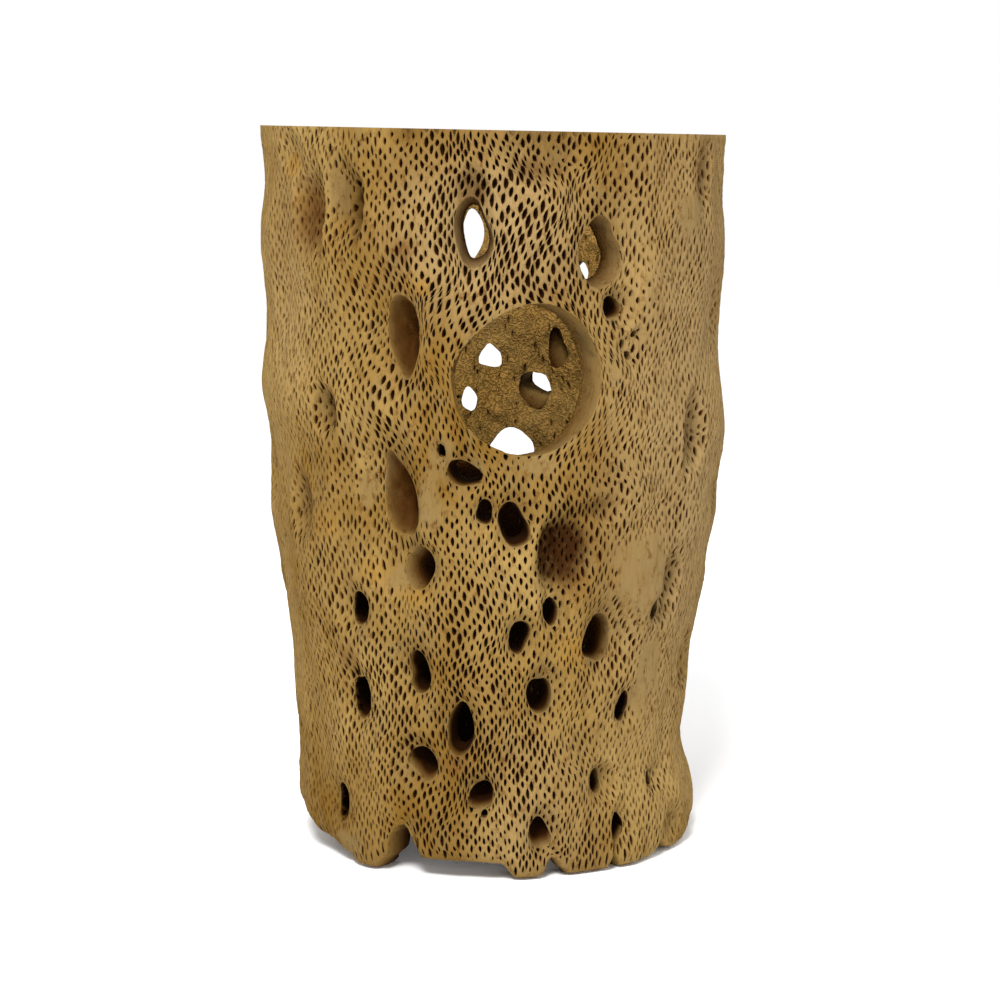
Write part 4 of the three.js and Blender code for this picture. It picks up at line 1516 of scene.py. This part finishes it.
    def plank(
        self,
        outer: tuple[np.ndarray, np.ndarray],
        inner: tuple[np.ndarray, np.ndarray],
        across: tuple[np.ndarray, np.ndarray],
        sector: np.ndarray,
        region: Region,
        share: Pair = (0.0, 1.0),
    ) -> None:
        """Add flat pieces across the wall, each between two outer and two inner points.

        Args:
            outer: The two outer points of each piece.
            inner: The two inner points of each piece.
            across: The map half columns of the two sides.
            sector: The sector of each piece.
            region: The part of the map that they lie in.
            share: How far across the wall they begin and end.
        """
        low, high = np.full(len(sector), share[0]), np.full(len(sector), share[1])
        first = np.stack([outer[0], outer[1], inner[1]], 1), np.stack([across[0], across[1], across[1]], 1)
        second = np.stack([outer[0], inner[1], inner[0]], 1), np.stack([across[0], across[1], across[0]], 1)
        self.triangles.add(*first, np.stack([low, low, high], 1), sector, region)
        self.triangles.add(*second, np.stack([low, high, high], 1), sector, region)

    def round_foot(self) -> None:
        """Close the foot with a rounded lip from the outer to the inner face."""
        halves = np.nonzero(self.net.is_cell[0])[0]
        lines = []
        for face in (self.outer, self.inner):
            chain = face.end_chain(0, halves)
            arc = face.arc[0, halves]
            middle = face.place(arc, face.z[0, halves], face.wall, face.crest - self.closed_dip)
            places = (middle, halves, np.zeros(len(halves)))
            sector = self.label[0, halves]
            self.triangles.fan(face.facing(chain), places, sector, face.region, ring=False)
            line = face.crossing[0].copy()
            line[halves] = middle
            lines.append(line)
        self.lip(lines)

    def lip(self, lines: list[np.ndarray]) -> None:
        """Join the foot lines of both faces with a rounded lip.

        Args:
            lines: The point numbers of the outer and the inner foot line.
        """
        arcs, heights, radii, _ = self.points.joined()
        outer, inner = lines
        over = wrap_arc(arcs[inner] - arcs[outer])
        rings = [outer]
        for share in self.foot_rings:
            arc = arcs[outer] + over * share
            radius = radii[outer] + (radii[inner] - radii[outer]) * share
            z = heights[outer] + (heights[inner] - heights[outer]) * share
            sag = math.sin(math.pi * share) ** self.lip_power
            z = z - (self.shape.foot_lift - self.lip_slack) * sag
            # The lip is painted darker towards the inner face: painted shade under the foot.
            rings.append(self.points.add(arc, np.maximum(z, self.lowest), radius, share))
        rings.append(inner)
        here = np.arange(self.net.half)
        after = (here + 1) % self.net.half
        owner = np.where(self.net.is_cell[0], self.label[0], np.roll(self.label[0], -1))
        steps = (0.0,) + self.foot_rings + (1.0,)
        for start, end, low, high in zip(rings, rings[1:], steps, steps[1:]):
            outer, inner = (start[after], start[here]), (end[after], end[here])
            self.plank(outer, inner, (here + 1.0, here), owner, Region.FOOT, (low, high))
        for column in np.nonzero(~self.net.is_cell[0])[0]:
            before, following = self.label[0, column - 1], self.label[0, (column + 1) % self.net.half]
            if before != following:
                fan = np.array([ring[column] for ring in rings])
                self.seal_lip(fan, int(before), True)
                self.seal_lip(fan, int(following), False)

    def seal_lip(self, ring: np.ndarray, sector: int, before: bool) -> None:
        """Seal the end of the lip where two sectors meet.

        Args:
            ring: Point numbers along the end of the lip.
            sector: The sector that it closes.
            before: Whether the sector lies before the end.
        """
        tris = np.array([[ring[0], ring[k + 1], ring[k]] for k in range(1, len(ring) - 1)])
        tris = tris[:, ::-1] if before else tris
        shares = np.tile(self.sliver, (len(tris), 1))
        region = Region.RIGHT_CUT if before else Region.LEFT_CUT
        self.triangles.add(tris, shares, shares * 0, np.full(len(tris), sector), region)

    def cap_sectors(self) -> None:
        """Close each sector where it meets the next, so that every piece is a closed solid."""
        rows, halves = np.nonzero(self.net.is_cell & ~self.outer.gone & ~self.inner.gone)
        for step_row, step_half in ((1, 1), (1, -1), (-1, -1), (-1, 1)):
            beyond = rows + step_row
            fits = (beyond >= 0) & (beyond <= self.net.rows)
            row, half = rows[fits], halves[fits]
            other = (beyond[fits], (half + step_half) % self.net.half)
            kept = ~(self.outer.gone[other] | self.inner.gone[other])
            meets = kept & (self.label[row, half] != self.label[other])
            if meets.any():
                self.cap_side(row[meets], half[meets], step_row, step_half)

    def cap_side(self, rows: np.ndarray, halves: np.ndarray, step_row: int, step_half: int) -> None:
        """Cap one side of cells, through the wall.

        Args:
            rows: Rows of the cells.
            halves: Half columns of the cells.
            step_row: Whether the side lies above or below.
            step_half: Whether the side lies right or left.
        """
        net = self.net
        flat, upright = (rows, (halves + step_half) % net.half), (rows + step_row, halves)
        low = flat if step_row > 0 else upright
        side = -step_half if step_row > 0 else step_half
        start, end = (flat, upright) if step_row * step_half > 0 else (upright, flat)
        region = Region.RIGHT_CUT if step_half > 0 else Region.LEFT_CUT
        sector = self.label[rows, halves]
        outer, inner = (
            (face.crossing[start], face.middle[side][low], face.crossing[end])
            for face in (self.outer, self.inner)
        )
        for k in range(2):
            across = (rows + (k + 1) / 2, rows + k / 2)
            self.plank((outer[k + 1], outer[k]), (inner[k + 1], inner[k]), across, sector, region)

    def build(self) -> None:
        """Make the whole surface."""
        self.cover_faces()
        self.line_mouths()
        self.saw_top()
        self.round_foot()
        self.cap_sectors()


class Socket:
    """A value in a finish, so that maths with it reads as plain maths."""

    def __init__(self, tree: bpy.types.NodeTree, out: Any) -> None:
        """Wrap an output of a node."""
        self.tree, self.out = tree, out

    def join(self, kind: str, other: Any, turned: bool = False) -> "Socket":
        """Join this value with another one or a number by a sum of some kind.

        Args:
            kind: The kind of sum.
            other: The other value or number.
            turned: Whether the other one comes first.

        Returns:
            The outcome as a value.
        """
        node = self.tree.nodes.new("ShaderNodeMath")
        node.operation = kind
        for place, value in enumerate((other, self) if turned else (self, other)):
            if isinstance(value, Socket):
                self.tree.links.new(value.out, node.inputs[place])
            else:
                node.inputs[place].default_value = value
        return Socket(self.tree, node.outputs[0])

    def __add__(self, other: Any) -> "Socket":
        """Add."""
        return self.join("ADD", other)

    def __radd__(self, other: Any) -> "Socket":
        """Add to a number."""
        return self.join("ADD", other, True)

    def __sub__(self, other: Any) -> "Socket":
        """Take away."""
        return self.join("SUBTRACT", other)

    def __rsub__(self, other: Any) -> "Socket":
        """Take away from a number."""
        return self.join("SUBTRACT", other, True)

    def __mul__(self, other: Any) -> "Socket":
        """Multiply."""
        return self.join("MULTIPLY", other)

    def __rmul__(self, other: Any) -> "Socket":
        """Multiply a number."""
        return self.join("MULTIPLY", other, True)

    def least(self, other: Any) -> "Socket":
        """Give the smaller of two values."""
        return self.join("MINIMUM", other)

    def most(self, other: Any) -> "Socket":
        """Give the larger of two values."""
        return self.join("MAXIMUM", other)

    def clipped(self) -> "Socket":
        """Keep a value between 0 and 1."""
        return self.most(0.0).least(1.0)

    def above(self, start: float, gain: float) -> "Socket":
        """Tell how far the value lies above a start, times a gain."""
        return (self - start) * gain

    def spread(self, base: float, gain: float) -> "Socket":
        """Give a base value and what this value adds to it."""
        return base + self * gain


def linear(red: int, green: int, blue: int) -> Triple:
    """Turn a colour as seen on a screen, from 0 to 255, into light amounts."""
    parts = [part / 255 for part in (red, green, blue)]
    return tuple(part / 12.92 if part <= 0.04045 else ((part + 0.055) / 1.055) ** 2.4 for part in parts)


class FinishTree:
    """The nodes of one finish."""

    COLOUR_INPUTS = (6, 7)
    COLOUR_OUTPUT = 2

    def __init__(self, name: str) -> None:
        """Start an empty finish with a shader."""
        self.material = bpy.data.materials.new(name)
        self.material.use_nodes = True
        self.tree = self.material.node_tree
        self.tree.nodes.clear()
        self.shader = self.tree.nodes.new("ShaderNodeBsdfPrincipled")
        end = self.tree.nodes.new("ShaderNodeOutputMaterial")
        self.tree.links.new(self.shader.outputs[0], end.inputs[0])

    def node(
        self, kind: str, output: str | int, settings: dict[str, Any], inputs: dict[str | int, Any]
    ) -> Socket:
        """Add a node.

        Args:
            kind: The node's type.
            output: The output to give back.
            settings: The node's own settings, set first.
            inputs: Values or links for its inputs.

        Returns:
            The output as a value.
        """
        node = self.tree.nodes.new(kind)
        for name, value in settings.items():
            setattr(node, name, value)
        for name, value in inputs.items():
            if isinstance(value, Socket):
                self.tree.links.new(value.out, node.inputs[name])
            else:
                node.inputs[name].default_value = value
        return Socket(self.tree, node.outputs[output])

    def stored(self, name: str) -> Socket:
        """Read a number that is stored with the points of the mesh."""
        return self.node("ShaderNodeAttribute", "Fac", {"attribute_name": name}, {})

    def stretched(self, stretch: Triple) -> Socket:
        """Give the object's own coordinates, stretched."""
        place = self.node("ShaderNodeTexCoord", "Object", {}, {})
        return self.node("ShaderNodeVectorMath", 0, {"operation": "MULTIPLY"}, {0: place, 1: stretch})

    def grain(self, stretch: Triple, detail: float = 3.0, rough: float = 0.6) -> Socket:
        """Give fine noise, stretched along the wood."""
        place = self.stretched(stretch)
        values = {"Vector": place, "Scale": 1.0, "Detail": detail, "Roughness": rough}
        return self.node("ShaderNodeTexNoise", 0, {}, values)

    def blend(self, share: Socket, first: Any, second: Any) -> Socket:
        """Mix two colours."""
        pair = {
            self.COLOUR_INPUTS[place]: colour if isinstance(colour, Socket) else (*colour, 1.0)
            for place, colour in enumerate((first, second))
        }
        settings, values = {"data_type": "RGBA"}, {0: share.clipped(), **pair}
        return self.node("ShaderNodeMix", self.COLOUR_OUTPUT, settings, values)

    def feed(self, name: str, value: Any) -> None:
        """Give a value or a link to an input of the shader."""
        if isinstance(value, Socket):
            self.tree.links.new(value.out, self.shader.inputs[name])
        else:
            self.shader.inputs[name].default_value = value


@dataclass(frozen=True)
class CactusWood:
    """Dry fibrous wood: pale tan strands, paler smooth skin and stains, with brown painted shade in the
    pores, tunnels, pits and hollows.
    """

    light: Triple = linear(141, 115, 66)
    middle: Triple = linear(105, 77, 29)
    grey: Triple = linear(116, 96, 60)
    ash: Triple = linear(141, 118, 80)
    # Painted shade: the brown that pores, tunnels and pits are darkened to, by the stored wall shade.
    painted_cavity_shade: Triple = linear(60, 33, 4)
    # Painted shadow: near black, deep inside pores and tunnels.
    painted_deep_shadow: Triple = linear(34, 15, 1)
    brown: Triple = linear(80, 46, 10)
    yellow: Triple = linear(138, 100, 36)
    curl: Triple = linear(168, 129, 66)
    # Painted shade: the dark brown that hollows, pits and the rims of small mouths are darkened to.
    painted_hollow_shade: Triple = linear(47, 24, 4)
    broad_grain: Triple = (26, 26, 16)
    fibre_grain: Triple = (900, 900, 120)
    speck_grain: Triple = (420, 420, 260)
    mottle_grain: Triple = (170, 170, 80)
    curl_grain: Triple = (170, 170, 150)
    fine_detail: float = 4.0
    mottle_detail: float = 2.0
    speck_rough: float = 0.7
    curl_rough: float = 0.62
    curl_turns: float = 60.0
    pale_above: Pair = (0.35, 3.0)
    mottle_above: Pair = (0.5, 2.2)
    fibre_above: Pair = (0.5, 2.6)
    speck_above: Pair = (0.55, 5.0)
    deep_shadow_above: Pair = (0.75, 4.0)
    ash_share: float = 0.7
    skin_share: float = 0.6
    cavity_shade_share: float = 1.25
    yellow_spread: Pair = (0.3, 0.5)
    curl_spread: Pair = (0.35, 0.45)
    brown_spread: Pair = (0.4, 0.8)
    hollow_shade_spread: Pair = (0.45, 1.1)
    roughness: Pair = (0.72, 0.2)
    shine: float = 0.05
    skin_relief: float = 0.6
    speck_relief: float = 0.8
    curl_relief: float = 0.9
    bump_strength: float = 0.6
    bump_height: float = 0.00048

    def make(self) -> bpy.types.Material:
        """Make the finish."""
        tree = FinishTree("cactus_wood")
        broad = tree.grain(self.broad_grain)
        fibre = tree.grain(self.fibre_grain, self.fine_detail)
        speck = tree.grain(self.speck_grain, self.fine_detail, self.speck_rough)
        mottle = tree.grain(self.mottle_grain, self.mottle_detail)
        field = tree.grain(self.curl_grain, self.fine_detail, self.curl_rough)
        curls = tree.node("ShaderNodeMath", 0, {"operation": "SINE"}, {0: field * self.curl_turns})
        skin, wall, inside = tree.stored("skin"), tree.stored("wall"), tree.stored("inside")
        colour: Any = self.middle
        for share, other in (
            (broad.above(*self.pale_above), self.light),
            (tree.stored("grey") * self.ash_share, self.ash),
            (mottle.above(*self.mottle_above), self.grey),
            (skin * self.skin_share, self.grey),
            (fibre.above(*self.fibre_above), self.middle),
            (speck.above(*self.speck_above), self.brown),
            (tree.stored("yellow") * speck.spread(*self.yellow_spread), self.yellow),
            (inside * curls.spread(*self.curl_spread), self.curl),
            (tree.stored("brown") * speck.spread(*self.brown_spread), self.brown),
            # The last three blends are painted shade: in the hollows, then in pores, tunnels and pits, then
            # darkest deep inside them.
            (tree.stored("deep") * speck.spread(*self.hollow_shade_spread), self.painted_hollow_shade),
            (wall * self.cavity_shade_share, self.painted_cavity_shade),
            (wall.above(*self.deep_shadow_above), self.painted_deep_shadow),
        ):
            colour = tree.blend(share, colour, other)
        tree.feed("Base Color", colour)
        tree.feed("Roughness", fibre.spread(*self.roughness))
        tree.feed("Specular IOR Level", self.shine)
        relief = fibre * (1.0 - skin * self.skin_relief) + speck * self.speck_relief
        relief = relief + curls * inside * self.curl_relief
        values = {"Strength": self.bump_strength, "Distance": self.bump_height, "Height": relief}
        tree.feed("Normal", tree.node("ShaderNodeBump", 0, {}, values))
        return tree.material


@dataclass(frozen=True)
class PaleFloor:
    """A plain matt pale floor."""

    colour: Triple = linear(255, 255, 255)
    roughness: float = 0.9

    def make(self) -> bpy.types.Material:
        """Make the finish."""
        tree = FinishTree("pale_floor")
        tree.feed("Base Color", (*self.colour, 1.0))
        tree.feed("Roughness", self.roughness)
        return tree.material


@dataclass
class SectorPieces:
    """The pieces that the finished surface is made into."""

    skeleton: Skeleton
    finish: bpy.types.Material
    lining: float = 0.8
    lining_fade: float = 2.0
    hollow_shade_reach: float = 1.15
    full_hollow_shade: float = 10.0
    pit_shade: float = 0.9
    mouth_shade: float = 0.35
    mouth_reach: float = 1.5
    big_mouth: float = 20.0

    def make(self) -> list[bpy.types.Object]:
        """Make one closed piece for each sector, and give the pieces."""
        arc, z, radius, self.wall = self.skeleton.points.joined()
        turn = turn_of(arc)
        angle = np.radians(turn)
        self.place = np.stack([radius * np.sin(angle), -radius * np.cos(angle), z], 1) * METRE
        store = self.skeleton.triangles
        self.corners = np.concatenate(store.corners)
        self.across, self.up = np.concatenate(store.across), np.concatenate(store.up)
        self.sector, self.region = np.concatenate(store.sector), np.concatenate(store.region)
        shape = self.skeleton.shape
        outside = np.clip((radius - shape.inner_radius(turn, z) - self.lining) / self.lining_fade, 0, 1)
        brown, yellow, grey = (
            np.clip(shape.total(areas, turn, z, shape.hollow_reach), 0, 1) * outside
            for areas in (BROWN_STAINS, YELLOW_STAINS, ASH)
        )
        self.values = {
            # wall: painted shade, growing into pores, tunnels, pits and the low inside of the tube.
            "wall": self.wall,
            "skin": shape.skin(turn, z) * outside,
            "brown": brown,
            # deep: painted shade in hollows, pits and round small mouths.
            "deep": np.clip(self.painted_hollow_shade(turn, z), 0, 1) * outside,
            "inside": 1 - outside,
            "yellow": yellow,
            "grey": grey,
        }
        self.find_normals()
        return [self.piece(number) for number in range(self.skeleton.sectors)]

    def painted_hollow_shade(self, turn: np.ndarray, z: np.ndarray) -> np.ndarray:
        """Tell how much painted shade darkens the hollows, the blind pits and the rims of small mouths at
        points.
        """
        shape = self.skeleton.shape
        hollows = tuple(area for area in HOLLOWS if area.amount > 0)
        gathered = shape.total(hollows, turn, z, self.hollow_shade_reach) / self.full_hollow_shade
        gathered += shape.total(PAINTED_SHADE_EDGES, turn, z, self.hollow_shade_reach)
        for pit in BLIND_PITS:
            gathered += self.pit_shade * shape.inside(pit, turn, z, 1.0)
        for mouth in TUNNELS:
            if mouth.wide < self.big_mouth:
                gathered += self.mouth_shade * shape.inside(mouth, turn, z, self.mouth_reach)
        return gathered

    def find_normals(self) -> None:
        """Find soft normals over the whole surface, and flat ones on the sawn top and the cuts."""
        a, b, c = (self.place[self.corners[:, k]] for k in range(3))
        flat = np.cross(b - a, c - a)
        hard = self.lies_in(self.region, Region.TOP, Region.LEFT_CUT, Region.RIGHT_CUT)
        total = np.zeros_like(self.place)
        for k in range(3):
            for axis in range(3):
                total[:, axis] += np.bincount(
                    self.corners[~hard, k], flat[~hard, axis], minlength=len(total))
        for part in (total, flat):
            part /= np.maximum(np.linalg.norm(part, axis=1), TINY)[:, None]
        self.normals = np.where(hard[:, None, None], flat[:, None], total[self.corners])

    def lies_in(self, region: np.ndarray, *wanted: Region) -> np.ndarray:
        """Tell which triangles lie in certain parts of the map."""
        regions = list(Region)
        return np.isin(region, [regions.index(entry) for entry in wanted])

    def map_places(self, pick: np.ndarray, number: int) -> np.ndarray:
        """Give the place on the map of every corner of a piece.

        Args:
            pick: Which triangles belong to the piece.
            number: The piece's number.

        Returns:
            Two numbers for each corner.
        """
        half = self.skeleton.net.half
        middle = (number + 0.5) * half / self.skeleton.sectors
        region, across, up = self.region[pick], self.across[pick], self.up[pick]
        cuts = self.lies_in(region, Region.LEFT_CUT, Region.RIGHT_CUT)
        ends = self.lies_in(region, Region.TOP, Region.FOOT)
        base = (across[:, :1] - middle + half / 2) % half - half / 2
        sideways = base + across - across[:, :1]
        low, high = sideways[~cuts].min(), sideways[~cuts].max()
        u = (sideways - low) / (high - low)
        v = np.where(ends[:, None], up, up / self.skeleton.net.rows)
        u = np.where(cuts[:, None], up, u)
        v = np.where(cuts[:, None], across / self.skeleton.net.rows, v)
        boxes = np.array([entry.value for entry in Region])[region]
        place_u = boxes[:, 0, None] + np.clip(u, 0, 1) * (boxes[:, 2] - boxes[:, 0])[:, None]
        place_v = boxes[:, 1, None] + np.clip(v, 0, 1) * (boxes[:, 3] - boxes[:, 1])[:, None]
        return np.stack([place_u, place_v], -1).reshape(-1, 2)

    def piece(self, number: int) -> bpy.types.Object:
        """Make the piece of one sector and tie it to the frame.

        Args:
            number: The sector's number, from 0.

        Returns:
            The finished piece.
        """
        pick = self.sector == number
        used, local = np.unique(self.corners[pick], return_inverse=True)
        mesh = bpy.data.meshes.new(f"cactus_wall_{number + 1}")
        mesh.vertices.add(len(used))
        mesh.vertices.foreach_set("co", self.place[used].astype(np.float32).ravel())
        count = int(pick.sum())
        mesh.loops.add(3 * count)
        mesh.loops.foreach_set("vertex_index", local.astype(np.int32).ravel())
        mesh.polygons.add(count)
        mesh.polygons.foreach_set("loop_start", np.arange(0, 3 * count, 3, dtype=np.int32))
        mesh.update(calc_edges=True)
        layer = mesh.uv_layers.new(name="OFBake")
        layer.uv.foreach_set("vector", self.map_places(pick, number).astype(np.float32).ravel())
        for name, values in self.values.items():
            store = mesh.attributes.new(name, "FLOAT", "POINT")
            store.data.foreach_set("value", values[used].astype(np.float32))
        mesh.polygons.foreach_set("use_smooth", np.ones(count, bool))
        mesh.normals_split_custom_set(self.normals[pick].reshape(-1, 3).astype(np.float32))
        mesh.materials.append(self.finish)
        item = bpy.data.objects.new(mesh.name, mesh)
        bpy.context.scene.collection.objects.link(item)
        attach(item, BODY)
        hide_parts(NODE)
        LOG.info("%s has %d triangles", item.name, count)
        return item


@dataclass
class Studio:
    """The camera, the floor and the soft light."""

    eye: Triple = (0.0023, -0.831, 0.236)
    # The photo's focal length, and how far its horizon lies above its middle, in pixels.
    focus: float = 2500.0
    horizon: float = 370.0
    lens: float = 90.0
    sensor: float = 36.0
    nearest: float = 0.01
    floor_size: float = 6.0
    aim: Triple = (0.0, 0.0, 0.12)
    key_place: Triple = (-0.18, -1.0, 1.2)
    key_size: float = 0.35
    key_power: float = 24.0
    fill_place: Triple = (0.5, -1.2, 0.3)
    fill_size: float = 0.8
    fill_power: float = 3.0
    surround: tuple[float, float, float, float] = (1.0, 1.0, 1.0, 1.0)
    surround_strength: float = 1.0

    def camera(self) -> None:
        """Set up the camera at the photo's angle."""
        data = bpy.data.cameras.new("camera")
        data.lens, data.sensor_width, data.clip_start = self.lens, self.sensor, self.nearest
        item = bpy.data.objects.new("camera", data)
        item.location = self.eye
        item.rotation_euler = (math.pi / 2 - math.atan(self.horizon / self.focus), 0, 0)
        bpy.context.scene.collection.objects.link(item)
        bpy.context.scene.camera = item

    def floor(self) -> None:
        """Lay the floor."""
        half = self.floor_size / 2
        mesh = bpy.data.meshes.new("floor")
        corners = [(-half, -half, 0), (half, -half, 0), (half, half, 0), (-half, half, 0)]
        mesh.from_pydata(corners, [], [(0, 1, 2, 3)])
        mesh.materials.append(PaleFloor().make())
        item = bpy.data.objects.new("floor", mesh)
        bpy.context.scene.collection.objects.link(item)

    def lamp(self, name: str, place: Triple, size: float, power: float) -> None:
        """Hang a large soft lamp that faces the piece.

        Args:
            name: The lamp's name.
            place: Where it hangs.
            size: The length of its side.
            power: How strong it is, in watts.
        """
        data = bpy.data.lights.new(name, "AREA")
        data.size, data.energy = size, power
        item = bpy.data.objects.new(name, data)
        item.location = place
        away = np.array(place) - np.array(self.aim)
        tilt = math.acos(away[2] / np.linalg.norm(away))
        item.rotation_euler = (tilt, 0, math.atan2(away[0], -away[1]))
        bpy.context.scene.collection.objects.link(item)

    def light(self) -> None:
        """Light the piece softly from the front, with an even pale surround."""
        bpy.context.scene.view_settings.view_transform = "Standard"
        self.lamp("key", self.key_place, self.key_size, self.key_power)
        self.lamp("fill", self.fill_place, self.fill_size, self.fill_power)
        world = bpy.data.worlds.new("surround")
        world.use_nodes = True
        light = world.node_tree.nodes["Background"]
        light.inputs[0].default_value = self.surround
        light.inputs[1].default_value = self.surround_strength
        bpy.context.scene.world = world


def main() -> None:
    """Build the camera, the light and the skeleton in order."""
    logging.basicConfig(level=logging.INFO, format="%(name)s: %(message)s")
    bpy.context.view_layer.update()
    studio = Studio()
    studio.camera()
    studio.floor()
    studio.light()
    shape = TubeShape()
    skeleton = Skeleton(shape, Net(shape))
    skeleton.build()
    SectorPieces(skeleton, CactusWood().make()).make()


if __name__ == "__main__":
    main()
